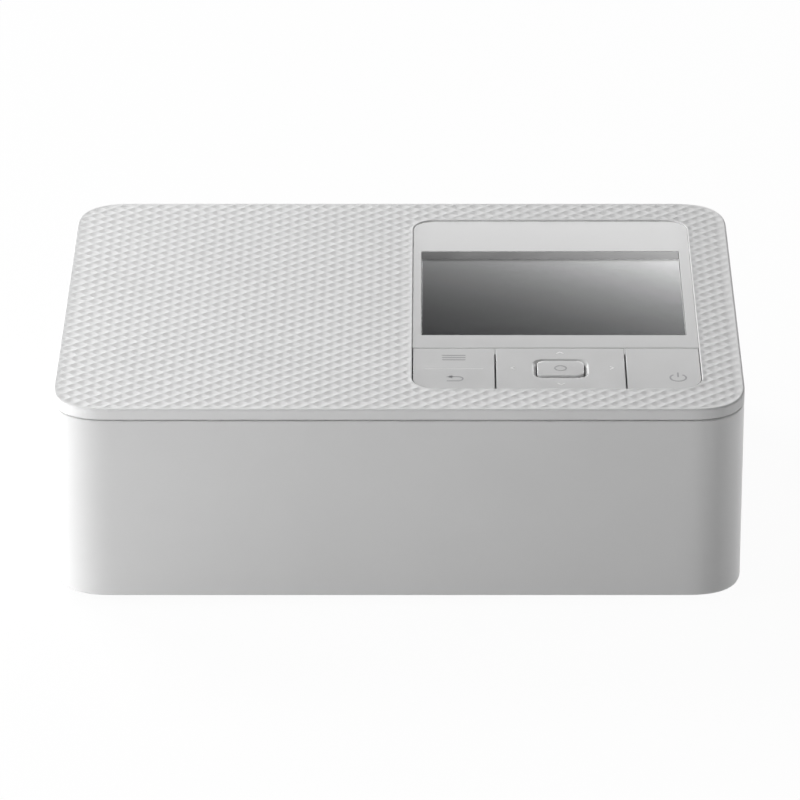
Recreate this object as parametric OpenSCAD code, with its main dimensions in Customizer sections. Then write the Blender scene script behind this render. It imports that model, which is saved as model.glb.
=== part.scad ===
// Compact dye-transfer photo printer, free-standing on four rubber feet.
// Frame: origin at the centre of the footprint on the table, X to the right, Y to the back, Z up.

/* [Body] */
// Overall width
body_w = 182.2; // [178:0.2:230]
// Overall depth
body_d = 133; // [131:0.5:165]
// Overall height, feet included
body_h = 57.6; // [57:0.2:72]
// Plan radius of the four vertical corners
corner_r = 12.5; // [9:0.5:14]
// Wall of the outer covers
wall = 2.4; // [1.8:0.1:2.8]
// Height of the rubber feet below the base
foot_h = 2; // [1.5:0.1:3]
// Thickness of the base plate
base_t = 2; // [1.6:0.1:2.4]
// Height of the top cover's rim
rim_h = 3.1; // [2.8:0.1:4]
// Thickness of the top cover's plate
top_t = 2.2; // [1.6:0.1:2.4]
// Height of the covers' bottom edge above the table
lip_z = 2.55; // [2.3:0.05:3]

/* [Seams and fits] */
// Gap between neighbouring outer covers
seam_gap = 0.4; // [0.35:0.05:0.6]
// Gap between parts that sit inside each other
part_gap = 0.3; // [0.25:0.05:0.4]
// Gap between a key and what surrounds it
key_gap = 0.25; // [0.2:0.05:0.3]
// Radial clearance of a shaft in its bearing
run_fit = 0.05; // [0.03:0.01:0.08]
// Gap between a full ribbon roll and the cassette's tube
roll_gap = 0.8; // [0.6:0.1:1.2]

/* [Hinged covers] */
// Length of the front cover's wings along the sides
wing_len = 15.1; // [15:0.1:16]
// Depth of the hinge axis behind a cover's outer face
hinge_in = 4.3; // [4.1:0.1:4.5]
// Height of the hinge axis above the table
hinge_z = 5.6; // [5.5:0.1:5.8]
// Radius of a hinge eye
eye_r = 2.3; // [2.1:0.1:2.4]
// Radius of a moulded hinge pin
pin_r = 1.1; // [0.9:0.1:1.2]
// Width of a hinge lug
lug_w = 5; // [4:0.5:6]
// Distance of each front hinge lug from the centre
front_lug_x = 62; // [50:1:68]
// Front edge of the ink door
door_y0 = -30; // [-34:1:-26]
// Rear edge of the ink door
door_y1 = 52; // [51:0.5:53]

/* [Control panel] */
// Left edge of the panel opening
panel_x0 = 3.4; // [2:0.1:5]
// Right edge of the panel opening
panel_x1 = 80.1; // [79:0.1:82]
// Front edge of the panel opening
panel_y0 = -53.8; // [-55:0.1:-53]
// Rear edge of the panel opening
panel_y1 = 56.9; // [56:0.1:58]
// Corner radius of the panel opening
panel_r = 6.5; // [5:0.5:8]
// Depth of the bezel's face below the top
bezel_drop = 0.4; // [0.3:0.1:0.8]
// Depth of the keys' face below the top
key_drop = 0.6; // [0.5:0.1:0.9]
// Rear edge of the keys
key_y1 = -28.5; // [-30:0.1:-27]
// Gap line between the menu key and the navigation pad
menu_x1 = 25.5; // [24:0.1:27]
// Gap line between the navigation pad and the power key
power_x0 = 60.1; // [59:0.1:62]
// Thickness of a key cap
cap_t = 1.8; // [1.4:0.1:2]
// Left edge of the display window
window_x0 = 5.7; // [5.2:0.1:7]
// Right edge of the display window
window_x1 = 77.1; // [76:0.1:78]
// Front edge of the display window
window_y0 = -19.7; // [-21:0.1:-18]
// Rear edge of the display window
window_y1 = 35.2; // [34:0.1:37]
// Width of the central key
ok_w = 12.5; // [11:0.5:14]
// Depth of the central key along Y
ok_d = 9.9; // [9:0.1:11]
// Travel of the central key
ok_travel = 0.35; // [0.2:0.05:0.4]

/* [Paper path] */
// Centre of the paper path along X
path_x = 12; // [11:0.5:12.5]
// Width of the paper
paper_w = 100; // [96:0.5:102]
// Height of the paper plane
paper_z = 27; // [26.5:0.1:27.5]
// Width of the slot for the paper cassette
slot_w = 114; // [110:1:116]
// Bottom of the paper cassette slot and of the inner front panel
slot_z0 = 10; // [9.5:0.5:11]
// Top of the paper cassette slot
slot_z1 = 34; // [32:0.5:34.5]
// Radius of the platen roller
platen_r = 6; // [5:0.5:6.5]
// Place of the platen roller along Y
platen_y = 19; // [18.5:0.5:19.5]
// Radius of the capstan roller
capstan_r = 3; // [2.5:0.1:3.2]
// Place of the capstan roller along Y
capstan_y = 50; // [49.5:0.5:50.5]
// Radius of the pinch roller
pinch_r = 3.2; // [2.8:0.1:3.4]
// Radius of the pickup roller
pickup_r = 6; // [5.5:0.1:6.2]

/* [Ink cassette] */
// Height of the two spools' axes
spool_z = 38.6; // [38.4:0.1:38.8]
// Place of the supply spool along Y
supply_y = 3; // [2.5:0.5:3.5]
// Place of the take-up spool along Y
takeup_y = 35; // [34.5:0.5:35.5]
// Outer radius of the cassette's tubes
tube_r = 9.8; // [9.5:0.1:10]
// Wall of the cassette's tubes
tube_t = 0.8; // [0.6:0.1:1]
// How much smaller the part-wound roll on the take-up spool is
roll_step = 3.2; // [2:0.1:3.6]

/* [Gears] */
// Module of all the gears
gear_m = 0.8; // [0.79:0.01:0.81]
// Teeth of the capstan gear
capstan_n = 30; // [28:1:31]
// Teeth of the idler gear
idler_n = 28; // [26:1:28]
// Teeth of the feed pinion
feed_n = 12; // [11:1:13]
// Teeth of the take-up spindle gear
spindle_n = 30; // [28:1:30]
// Teeth of the ribbon pinion
ribbon_n = 10; // [10:1:12]
// Width of a gear
gear_w = 4; // [3:0.5:4]

/* [Hidden] */
$fn = 64;

white = [0.93, 0.93, 0.93];
pale = [0.85, 0.85, 0.86];
dark = [0.13, 0.13, 0.15];
steel = [0.62, 0.64, 0.66];
board_green = [0.1, 0.34, 0.22];
gear_white = [0.9, 0.88, 0.8];
ink_grey = [0.28, 0.28, 0.31];

// Levels of the outer covers
seam_z = body_h - rim_h;
shell_top = seam_z - seam_gap;
plate_z = body_h - top_t;
base_top = foot_h + base_t;
half_w = body_w / 2;
half_d = body_d / 2;
front_y = -half_d;
inner_x = half_w - wall;
inner_y = half_d - wall;
wing_y = front_y + wing_len;
shell_y = wing_y + seam_gap + 0.05;
inner_r = corner_r - wall;

// Hinged covers: distances are measured inwards from the outer face
base_in = 8.5;
lug_bar_in = 12.5;
lug_bar_z0 = 4.3;
lug_bar_z1 = 7.9;
pocket_in = hinge_in - eye_r - 0.6;
cheek_w = 3;
door_lug_y = [door_y0 + 8, door_y1 - 8];
door_gap = seam_gap + 0.05;
door_frame_t = 2;
door_frame_x = half_w - 6.5;
latch_x = 50;
latch_z = 48;
latch_w = 8;
latch_t = 1.6;
latch_reach = 1.4;
door_tab_z = [shell_top - 2.1, shell_top - 0.7];
door_mid_y = (door_y0 + door_y1) / 2;
scoop_half = 9;
scoop_h = 5;
scoop_depth = 0.9;
bay_panel_z0 = 10.5;
bay_corner_r = 3;
bay_margin = 2;

// Posts that carry the case screws, one at each corner
boss_r = 3.2;
boss_x = half_w - 9.6;
boss_front_y = front_y + 21.5;
boss_rear_y = half_d - 9.5;
boss_split_z = 14;
boss_list = [[-boss_x, boss_front_y], [boss_x, boss_front_y], [-boss_x, boss_rear_y], [boss_x, boss_rear_y]];
screw_r = 1.2;
screw_head_r = 2.3;
foot_r = 6;
foot_in_x = 21;
foot_list = [for (sx = [-1, 1]) for (y = [front_y + 16.5, half_d - 14.5]) [sx * (half_w - foot_in_x), y]];
foot_seat = 0.6;

// Inner front panel
frame_front_y = front_y + 6.3;
frame_t = 2;
frame_side_x = inner_x - seam_gap;
frame_end_y = front_y + 22;
slot_x = [path_x - slot_w / 2, path_x + slot_w / 2];

// Control panel levels
bezel_top = body_h - bezel_drop;
bezel_t = 2;
key_top = body_h - key_drop;
cap_z = key_top - cap_t;
deck_z0 = body_h - 5.4;
deck_z1 = deck_z0 + 0.8;
deck_in = 1.6;
deck_wall = 1.5;
flange_w = 2.2;
switch_top = body_h - 6.5;
key_board_top = switch_top - 1.1;
board_t = 1.6;
stem_gap = 0.15;
stem_z = switch_top + ok_travel + stem_gap;
stem_r = 1.2;
window_t = 0.95;
window_z0 = bezel_top - 0.05 - window_t;
window_lip = 1.5;
display_z1 = bezel_top - bezel_t - 0.2;
display_t = 3;
display_y0 = window_y0 - 3.3;
display_y1 = window_y1 + 2.8;
line_half = 0.22;
pad_x = (menu_x1 + power_x0) / 2;
pad_y = -41.05;
key_y0 = panel_y0 + key_gap;
key_y2 = key_y1 - key_gap;
carrier_t = 0.8;
carrier_z0 = deck_z1 + 0.5;
rocker_pin_r = 0.6;
rocker_rise = 0.9;
pad_reach = [12.9, 9.6];
pad_stems = [
    [pad_x, pad_y + pad_reach[1]], [pad_x, pad_y - pad_reach[1]],
    [pad_x - pad_reach[0], pad_y], [pad_x + pad_reach[0], pad_y]
];
carrier_half = [pad_reach[0] + 2.3, pad_reach[1] + 1.8];
menu_x = (panel_x0 + menu_x1) / 2;
menu_stems = [[menu_x, pad_y + 7.2], [menu_x, pad_y - 6.4]];
power_stem = [73.8, -46.7];
stem_list = concat(pad_stems, menu_stems, [power_stem, [pad_x, pad_y]]);

// Side frames of the print mechanism
sheet_t = 1.2;
head_w = paper_w + 2;
left_x1 = path_x - paper_w / 2 - 12.8;
left_x0 = left_x1 - sheet_t;
right_x0 = path_x + paper_w / 2 + 14;
right_x1 = right_x0 + sheet_t;
frame_y0 = -54;
frame_y1 = 62.4;
frame_top = 50;
frame_low = 47.8;
frame_arm_z = 36;
frame_foot_y = -14.5;
frame_step = key_y1 + 3.1;
tab_y = [[-10, 0], [40, 50]];
tab_w = 6;
gear_plate_x1 = left_x0 - 13.2;
gear_plate_x0 = gear_plate_x1 - sheet_t;
layer_a = gear_plate_x1 + 1.7;
layer_b = layer_a + gear_w + 1.5;
post_list = [[1.8, 7.4], [2, 48], [60, 46], [40, 7.5]];
post_r = 2.5;
tie_list = [[-50, 45], [60, 20.4], [60, 37]];
tie_r = 2.2;
screw_head_t = 1;
bush_r = 3.2;
bush_out = 1;
shaft_r = 2;
capstan_journal_r = 1.5;
platen_z = paper_z - 0.3 - platen_r;
capstan_z = paper_z - capstan_r;
pinch_z = paper_z + 0.4 + pinch_r;
guide_t = 1;
guide_z = paper_z - 1.4;
roller_slot = 0.8;
paper_side = 3;
rear_slot_z = [paper_z - 2.6, paper_z + 5];

// Gear train: each axis follows from the radii of the gears that mesh
function pitch_r(n) = n * gear_m / 2;
train_angle = 190;
idler_pos = [
    capstan_y + (pitch_r(capstan_n) + pitch_r(idler_n)) * cos(train_angle),
    capstan_z + (pitch_r(capstan_n) + pitch_r(idler_n)) * sin(train_angle)
];
feed_pos = [idler_pos[0] - pitch_r(idler_n) - pitch_r(feed_n), idler_pos[1]];
ribbon_angle = 166;
ribbon_pos = [
    takeup_y + (pitch_r(spindle_n) + pitch_r(ribbon_n)) * cos(ribbon_angle),
    spool_z + (pitch_r(spindle_n) + pitch_r(ribbon_n)) * sin(ribbon_angle)
];
idler_phase = train_angle + 180 + 180 / idler_n;
feed_shift = (180 - idler_phase) / (360 / idler_n);
feed_phase = 180 / feed_n + feed_shift * 360 / feed_n;
ribbon_phase = ribbon_angle + 180 + 180 / ribbon_n;
idler_pin_r = 1.5;
motor_shaft_r = 1;
feed_motor_r = 12.5;
feed_motor_len = 17;
ribbon_motor_r = 10;
ribbon_motor_len = 11.5;

// Print head, which swings about the rear of the side frames
head_pivot = [56, 46];
head_pin_r = 1.5;
head_gap = 3.6;
beam_y = [platen_y - 3.5, platen_y + 3.5];
beam_z = [36.6, 43];
beam_t = 2.4;
arm_left = left_x1 + 1.3;
arm_right = right_x0 - 2.8;
arm_t = 1.5;

// Ink cassette
cassette_x0 = path_x - paper_w / 2 - 8;
cassette_x1 = path_x + paper_w / 2 + 6;
end_t = 2;
tube_gap = 1.2;
supply_roll_r = tube_r - tube_t - roll_gap;
takeup_roll_r = supply_roll_r - roll_step;
bridge_z0 = spool_z - tube_r - tube_gap;
bridge_z1 = bridge_z0 + 2.4;
ribbon_z = bridge_z0 + 0.45;
core_r = 4;
journal_r = 2;
dog_r = 1.2;
handle_x1 = cassette_x1 + 12;

// Pickup roller on its swing arm
pickup_pivot = [-13, 43];
pickup_pos = [-31, 41.6];
pickup_arm_x = 18;
pickup_eye_r = 3.6;

// Boards, ports and fan on the left and at the back
control_z = 18;
control_x = [-half_w + 5.1, -half_w + 35.1];
control_y = [-40, -2.2];
reader_y = [-38, -10];
reader_h = 3.4;
usb_a_y = [-36, -22.8];
usb_a_h = 6;
usb_c_y = [-18, -9];
usb_c_h = 3.3;
port_x = -inner_x + 0.9;
power_z = 6;
power_x = [left_x1 + 3, right_x0 - 3];
power_y = [-12, half_d - 6.5];
inlet_x = [power_x[1] - 15, power_x[1] - 6];
inlet_z1 = 17.6;
inlet_r = 2.75;
terminal_x = [-30, -4];
terminal_z = [7, 19];
terminal_t = 1.8;
terminal_notch = 0.8;
louvre_n = 6;
louvre_x = [-76, -50];
louvre_z0 = 14;
louvre_pitch = 5;
louvre_h = 2.4;
fan_y = 38.5;
fan_z = 27;
fan_size = 28;
fan_depth = 9.5;
fan_x0 = -inner_x;
fan_bore_r = 13;
fan_hub_r = 5;
fan_blade_r = 12.4;
fan_slot_pitch = 3.4;
fan_slot_w = 2;
fan_slot_half = 10;
lever_pos = [-20, 39.5];
lever_tip = [11, 3];
lever_grip = [-4, 8];
lever_t = 2;
lever_grip_r = 2;
lever_pin_r = 1.6;
lever_eye_r = 4;

// ---------- helpers ----------
// A box given by its ranges along X, Y and Z
module block(x, y, z) {
    translate([x[0], y[0], z[0]])
        cube([x[1] - x[0], y[1] - y[0], z[1] - z[0]]);
}

// A flat shape drawn in (y, z), given thickness along X
module slab_x(x) {
    translate([x[0], 0, 0])
        rotate([90, 0, 90])
            linear_extrude(x[1] - x[0])
                children();
}

// A flat shape drawn in (x, z), given thickness along Y
module slab_y(y) {
    translate([0, y[1], 0])
        rotate([90, 0, 0])
            linear_extrude(y[1] - y[0])
                children();
}

// A flat shape drawn in (x, y), given thickness along Z
module slab_z(z) {
    translate([0, 0, z[0]])
        linear_extrude(z[1] - z[0])
            children();
}

// A round bar along X, through the point (y, z)
module rod_x(x, at, r) {
    slab_x(x)
        translate(at)
            circle(r);
}

// A round post along Z
module post(at, z, r) {
    slab_z(z)
        translate(at)
            circle(r);
}

// A rectangle given by its ranges, with sharp corners
module rect(a, b) {
    translate([a[0], b[0]])
        square([a[1] - a[0], b[1] - b[0]]);
}

// A rectangle given by its ranges, with round corners
module round_rect(a, b, r) {
    rect([a[0] + r, a[1] - r], b);
    rect(a, [b[0] + r, b[1] - r]);
    for (u = [a[0] + r, a[1] - r])
        for (v = [b[0] + r, b[1] - r])
            translate([u, v])
                circle(r);
}

// The body's plan, drawn in by a distance
module plan(inset) {
    w = half_w - inset;
    d = half_d - inset;
    round_rect([-w, w], [-d, d], corner_r - inset);
}

// The ring between the body's outer and inner plan
module plan_ring() {
    difference() {
        plan(0);
        plan(wall);
    }
}

// A straight bar with round ends between two points
module capsule(a, b, ra, rb) {
    run = b - a;
    len = norm(run);
    side = [-run[1], run[0]] / len;
    translate(a)
        circle(ra);
    translate(b)
        circle(rb);
    polygon([a + side * ra, b + side * rb, b - side * rb, a - side * ra]);
}

// Outline of a gear with straight-sided, narrow teeth
function gear_outline(n, phase) = [
    for (i = [0 : n - 1])
        for (p = [[-1.15, -0.28], [0, -0.2], [0.85, -0.1], [0.85, 0.1], [0, 0.2], [-1.15, 0.28]])
            let (r = pitch_r(n) + p[0] * gear_m, a = phase + (i + p[1]) * 360 / n)
                [r * cos(a), r * sin(a)]
];

// A gear on an axis along X, with its bore
module gear(x, at, n, phase, bore_r) {
    slab_x(x)
        translate(at)
            difference() {
                polygon(gear_outline(n, phase));
                circle(bore_r);
            }
}

// Side views of the hinge parts, drawn as (distance inwards, height)
module lug_profile() {
    difference() {
        union() {
            translate([hinge_in, hinge_z])
                circle(eye_r);
            rect([hinge_in, lug_bar_in], [lug_bar_z0, lug_bar_z1]);
            rect([base_in, lug_bar_in], [base_top - 0.5, lug_bar_z1]);
        }
        translate([hinge_in, hinge_z])
            circle(pin_r + run_fit);
    }
}

module cheek_profile() {
    translate([hinge_in, hinge_z])
        circle(eye_r);
    rect([wall - 0.5, hinge_in], [hinge_z - eye_r, hinge_z + eye_r]);
}

module pin_profile() {
    translate([hinge_in, hinge_z])
        circle(pin_r);
}

module pocket_profile() {
    rect([pocket_in, wall + 1], [lip_z - 1, hinge_z + eye_r + 1.2]);
}

// Places a hinge profile at the front, for the range x
module at_front(x) {
    slab_x(x)
        translate([front_y, 0])
            children();
}

// Places a hinge profile at the right side, for the range y
module at_right(y) {
    slab_y(y)
        translate([half_w, 0])
            mirror([1, 0])
                children();
}

// ---------- outer covers ----------
module top_cover() color(white) {
    difference() {
        union() {
            slab_z([plate_z, body_h])
                plan(0);
            slab_z([seam_z, plate_z])
                plan_ring();
            for (at = boss_list)
                post(at, [boss_split_z, plate_z], boss_r);
        }
        slab_z([plate_z - 1, body_h + 1])
            round_rect([panel_x0, panel_x1], [panel_y0, panel_y1], panel_r);
        for (at = boss_list)
            post(at, [boss_split_z - 1, boss_split_z + 10], screw_r + run_fit);
    }
}

module shell_plan() {
    intersection() {
        plan_ring();
        rect([-half_w, half_w], [shell_y, half_d]);
    }
}

module body_shell() color(white) {
    frame_y = [door_y0 - door_gap - door_frame_t, door_y1 + door_gap + door_frame_t];
    difference() {
        union() {
            slab_z([lip_z, shell_top])
                difference() {
                    shell_plan();
                    rect([inner_x - 1, half_w + 1], [door_y0 - door_gap, door_y1 + door_gap]);
                }
            // Returns and recessed panel behind the ink door
            for (y = [[frame_y[0], frame_y[0] + door_frame_t], [frame_y[1] - door_frame_t, frame_y[1]]])
                slab_z([lip_z, shell_top])
                    intersection() {
                        plan(0);
                        rect([door_frame_x, half_w], y);
                    }
            difference() {
                block([door_frame_x, door_frame_x + door_frame_t], frame_y, [bay_panel_z0, shell_top]);
                slab_x([door_frame_x - 1, door_frame_x + door_frame_t + 1])
                    round_rect(
                        [supply_y - tube_r - bay_margin, takeup_y + tube_r + bay_margin],
                        [spool_z - tube_r - bay_margin, spool_z + tube_r + bay_margin + 1],
                        bay_corner_r
                    );
            }
        }
        rear_openings();
        left_openings();
    }
}

// Openings in the back wall: paper slot, louvres, power inlet and terminal cover
module rear_openings() {
    y = [inner_y - 1, half_d + 1];
    block([path_x - paper_w / 2 - paper_side, path_x + paper_w / 2 + paper_side], y, rear_slot_z);
    for (i = [0 : louvre_n - 1])
        block(louvre_x, y, [louvre_z0 + louvre_pitch * i, louvre_z0 + louvre_pitch * i + louvre_h]);
    block(
        [inlet_x[0] - part_gap, inlet_x[1] + part_gap],
        y,
        [power_z + board_t - part_gap, inlet_z1 + part_gap]
    );
    block(terminal_x, y, terminal_z);
}

// Openings in the left wall: fan louvres, card slot and the two ports
module left_openings() {
    x = [-half_w - 1, -inner_x + 1];
    port_z0 = control_z + board_t;
    for (i = [-3 : 3])
        block(
            x,
            [fan_y + fan_slot_pitch * i - fan_slot_w / 2, fan_y + fan_slot_pitch * i + fan_slot_w / 2],
            [fan_z - fan_slot_half, fan_z + fan_slot_half]
        );
    block(x, [reader_y[0] + 1.2, reader_y[1] - 1.2], [control_z - reader_h + 0.2, control_z - 0.2]);
    block(x, [usb_a_y[0] - part_gap, usb_a_y[1] + part_gap], [port_z0 - 0.1, port_z0 + usb_a_h + part_gap]);
    block(x, [usb_c_y[0] - part_gap, usb_c_y[1] + part_gap], [port_z0 - 0.1, port_z0 + usb_c_h + part_gap]);
}

module base_tray() color(pale) {
    notch_y = [door_y0 - door_gap - door_frame_t - part_gap, door_y1 + door_gap + door_frame_t + part_gap];
    difference() {
        union() {
            slab_z([foot_h, base_top])
                difference() {
                    plan(wall + part_gap);
                    rect([-half_w, half_w], [-half_d, front_y + base_in]);
                    rect([half_w - base_in, half_w], notch_y);
                }
            for (at = boss_list)
                post(at, [foot_h, boss_split_z], boss_r);
            for (sx = [-1, 1])
                at_front([sx * front_lug_x - lug_w / 2, sx * front_lug_x + lug_w / 2])
                    lug_profile();
            for (y = door_lug_y)
                at_right([y - lug_w / 2, y + lug_w / 2])
                    lug_profile();
            base_posts();
        }
        for (at = boss_list) {
            post(at, [foot_h - 1, boss_split_z - 2], screw_head_r + 0.3);
            post(at, [foot_h - 1, boss_split_z + 1], screw_r + 0.2);
        }
        for (at = foot_list)
            post(at, [foot_h - 1, foot_h + foot_seat], foot_r + 0.1);
    }
}

// Posts on the base that carry the two boards
control_posts = [
    [control_x[1] - 3, control_y[0] + 2.4],
    [control_x[1] - 3, control_y[1] - 2.6],
    [control_x[0] + 3, control_y[1] - 2.6]
];
power_posts = [
    for (x = [power_x[0] + 5, power_x[1] - 2.8])
        for (y = [power_y[0] + 18, power_y[1] - 4])
            [x, y]
];

module base_posts() {
    for (at = control_posts)
        post(at, [base_top - 0.5, control_z], 2.1);
    for (at = power_posts)
        post(at, [base_top - 0.5, power_z], 3);
}

module front_cover() color(white) {
    wing_r = wing_y - front_y - hinge_in;
    difference() {
        union() {
            slab_z([lip_z, shell_top])
                intersection() {
                    plan_ring();
                    rect([-half_w, half_w], [-half_d, wing_y]);
                }
            for (sx = [-1, 1])
                front_hinge(sx);
            for (sx = [-1, 1])
                block(
                    [sx * latch_x - latch_w / 2, sx * latch_x + latch_w / 2],
                    [front_y + wall - 0.5, frame_front_y + latch_reach],
                    [latch_z, latch_z + latch_t]
                );
        }
        for (sx = [-1, 1])
            at_front([sx * front_lug_x - lug_w / 2 - part_gap, sx * front_lug_x + lug_w / 2 + part_gap])
                pocket_profile();
        // The wings' lower corners follow the swing about the hinge
        slab_x([-half_w - 1, half_w + 1])
            difference() {
                rect([front_y + hinge_in + 7, wing_y + 1], [0, hinge_z]);
                translate([front_y + hinge_in, hinge_z])
                    circle(wing_r);
            }
    }
}

// A cheek with its pin, on the outer side of a front lug
module front_hinge(side) {
    near = front_lug_x + lug_w / 2 + part_gap;
    cheek = side > 0 ? [near, near + cheek_w] : [-near - cheek_w, -near];
    pin = side > 0 ? [near - lug_w - 0.2, near + 1] : [-near - 1, -near + lug_w + 0.2];
    at_front(cheek)
        cheek_profile();
    at_front(pin)
        pin_profile();
}

module ink_door() color(white) {
    difference() {
        union() {
            block([inner_x, half_w], [door_y0, door_y1], [lip_z, shell_top]);
            for (i = [0, 1])
                door_hinge(i);
            block(
                [door_frame_x + door_frame_t + part_gap, inner_x + 0.5],
                [door_mid_y - latch_w / 2, door_mid_y + latch_w / 2],
                door_tab_z
            );
        }
        for (y = door_lug_y)
            at_right([y - lug_w / 2 - part_gap, y + lug_w / 2 + part_gap])
                pocket_profile();
        // Shallow finger recess at the top edge
        block(
            [half_w - scoop_depth, half_w + 1],
            [door_mid_y - scoop_half, door_mid_y + scoop_half],
            [shell_top - scoop_h, shell_top + 1]
        );
    }
}

module door_hinge(i) {
    side = i == 0 ? 1 : -1;
    near = door_lug_y[i] + side * (lug_w / 2 + part_gap);
    cheek = side > 0 ? [near, near + cheek_w] : [near - cheek_w, near];
    pin = side > 0 ? [near - lug_w - 0.2, near + 1] : [near - 1, near + lug_w + 0.2];
    at_right(cheek)
        cheek_profile();
    at_right(pin)
        pin_profile();
}

module front_frame() color(pale) {
    r = inner_r - seam_gap;
    difference() {
        slab_z([slot_z0, shell_top])
            difference() {
                round_rect([-frame_side_x, frame_side_x], [frame_front_y, half_d], r);
                round_rect(
                    [-frame_side_x + frame_t, frame_side_x - frame_t],
                    [frame_front_y + frame_t, half_d + 1],
                    r - frame_t
                );
                rect([-half_w, half_w], [frame_end_y, half_d + 2]);
            }
        block(slot_x, [frame_front_y - 1, frame_front_y + frame_t + 1], [slot_z0 - 1, slot_z1]);
        for (sx = [-1, 1])
            block(
                [sx * latch_x - latch_w / 2 - 0.5, sx * latch_x + latch_w / 2 + 0.5],
                [frame_front_y - 1, frame_front_y + frame_t + 1],
                [latch_z - 0.6, latch_z + latch_t + 0.8]
            );
    }
}

module terminal_cover() color(white) {
    x = [terminal_x[0] + part_gap, terminal_x[1] - part_gap];
    z = [terminal_z[0] + part_gap, terminal_z[1] - part_gap];
    mid = (x[0] + x[1]) / 2;
    difference() {
        slab_y([half_d - terminal_t, half_d])
            round_rect(x, z, 1);
        block([mid - 3, mid + 3], [half_d - terminal_notch, half_d + 1], [z[1] - 2.2, z[1] + 1]);
    }
}

module rubber_feet() color(dark)
    for (at = foot_list)
        post(at, [0, foot_h + foot_seat], foot_r);

module case_screws() color(steel)
    for (at = boss_list) {
        difference() {
            post(at, [boss_split_z - 3.8, boss_split_z - 2], screw_head_r);
            block(
                [at[0] - 0.4, at[0] + 0.4],
                [at[1] - 1.6, at[1] + 1.6],
                [boss_split_z - 4, boss_split_z - 3]
            );
        }
        post(at, [boss_split_z - 2.5, boss_split_z + 8], screw_r);
    }

// ---------- control panel ----------
module display_bezel() color(white) {
    x = [panel_x0 + key_gap, panel_x1 - key_gap];
    y = [key_y1 + 0.15, panel_y1 - key_gap];
    difference() {
        union() {
            slab_z([bezel_top - bezel_t, bezel_top])
                intersection() {
                    round_rect(x, [key_y0, y[1]], panel_r - key_gap);
                    rect(x, y);
                }
            // Flange under the top cover
            slab_z([bezel_top - bezel_t - 0.8, plate_z - 0.2])
                intersection() {
                    round_rect([x[0] - flange_w, x[1] + flange_w], [key_y0, y[1] + flange_w], panel_r);
                    rect([x[0] - 3, x[1] + 3], [y[0], y[1] + 3]);
                }
            // Wall and deck that carry the keys
            block([x[0] + deck_in, x[1] - deck_in], [y[0], y[0] + deck_wall], [deck_z0, bezel_top - bezel_t]);
            block([x[0] + deck_in, x[1] - deck_in], [key_y0 + 1, y[0] + deck_wall], [deck_z0, deck_z1]);
            for (cx = [menu_x1, power_x0])
                for (cy = [key_y0 + 3, key_y2 - 3])
                    post([cx, cy], [key_board_top, deck_z0 + 0.2], 1.5);
        }
        slab_z([window_z0 - 0.05, bezel_top + 1])
            rect([window_x0, window_x1], [window_y0, window_y1]);
        slab_z([deck_z0 - 1, bezel_top + 1])
            rect(
                [window_x0 + window_lip, window_x1 - window_lip],
                [window_y0 + window_lip, window_y1 - window_lip]
            );
        block(
            [window_x0 - 0.8, window_x1 + 0.8],
            [display_y0 - 0.4, display_y1 + 0.4],
            [deck_z0 - 1, display_z1 + 0.2]
        );
        for (at = stem_list)
            post(at, [deck_z0 - 1, deck_z1 + 1], stem_r + 0.5);
        for (at = boss_list)
            post(at, [deck_z0 - 1, plate_z], boss_r + part_gap);
    }
}

module display_window() color(dark)
    slab_z([window_z0, window_z0 + window_t])
        rect([window_x0 + 0.15, window_x1 - 0.15], [window_y0 + 0.15, window_y1 - 0.15]);

module display_module() color([0.2, 0.21, 0.23]) {
    difference() {
        block(
            [window_x0 - 0.4, window_x1 + 0.4],
            [display_y0, display_y1],
            [display_z1 - display_t, display_z1]
        );
        block(
            [window_x0 + 1, window_x1 - 1],
            [window_y0 + 1, window_y1 - 1],
            [display_z1 - 0.3, display_z1 + 1]
        );
    }
}

// Plan of the whole key area, with the panel's round front corners
module key_plan() {
    intersection() {
        round_rect([panel_x0 + key_gap, panel_x1 - key_gap], [key_y0, panel_y1], panel_r - key_gap);
        rect([panel_x0, panel_x1], [key_y0, key_y2]);
    }
}

module key_cap(x) {
    slab_z([cap_z, key_top])
        intersection() {
            key_plan();
            rect(x, [key_y0, key_y2]);
        }
}

module stem(at) {
    post(at, [stem_z, cap_z + 0.3], stem_r);
}

module menu_key() color(white) {
    key_cap([panel_x0, menu_x1 - line_half]);
    for (at = menu_stems)
        stem(at);
    rail_x = [panel_x0 + 4, menu_x1 - 3];
    block(rail_x, [pad_y - rocker_pin_r, pad_y + rocker_pin_r], [deck_z1 + rocker_rise, cap_z + 0.3]);
    rod_x(rail_x, [pad_y, deck_z1 + rocker_rise], rocker_pin_r);
}

module pad_carrier() color(pale) {
    difference() {
        union() {
            block(
                [pad_x - carrier_half[0], pad_x + carrier_half[0]],
                [pad_y - carrier_half[1], pad_y + carrier_half[1]],
                [carrier_z0, carrier_z0 + carrier_t]
            );
            slab_y([pad_y - carrier_half[1], pad_y + carrier_half[1]])
                translate([pad_x, carrier_z0])
                    circle(0.4);
        }
        for (at = pad_stems)
            post(at, [carrier_z0 - 1, carrier_z0 + 2], stem_r + 0.4);
        post([pad_x, pad_y], [carrier_z0 - 1, carrier_z0 + 2], stem_r + 0.6);
    }
}

module navigation_pad() color(white) {
    difference() {
        key_cap([menu_x1 + line_half, power_x0 - line_half]);
        slab_z([cap_z - 1, key_top + 1])
            round_rect(
                [pad_x - ok_w / 2 - part_gap, pad_x + ok_w / 2 + part_gap],
                [pad_y - ok_d / 2 - part_gap, pad_y + ok_d / 2 + part_gap],
                2.3
            );
    }
    for (at = pad_stems)
        stem(at);
}

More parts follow.
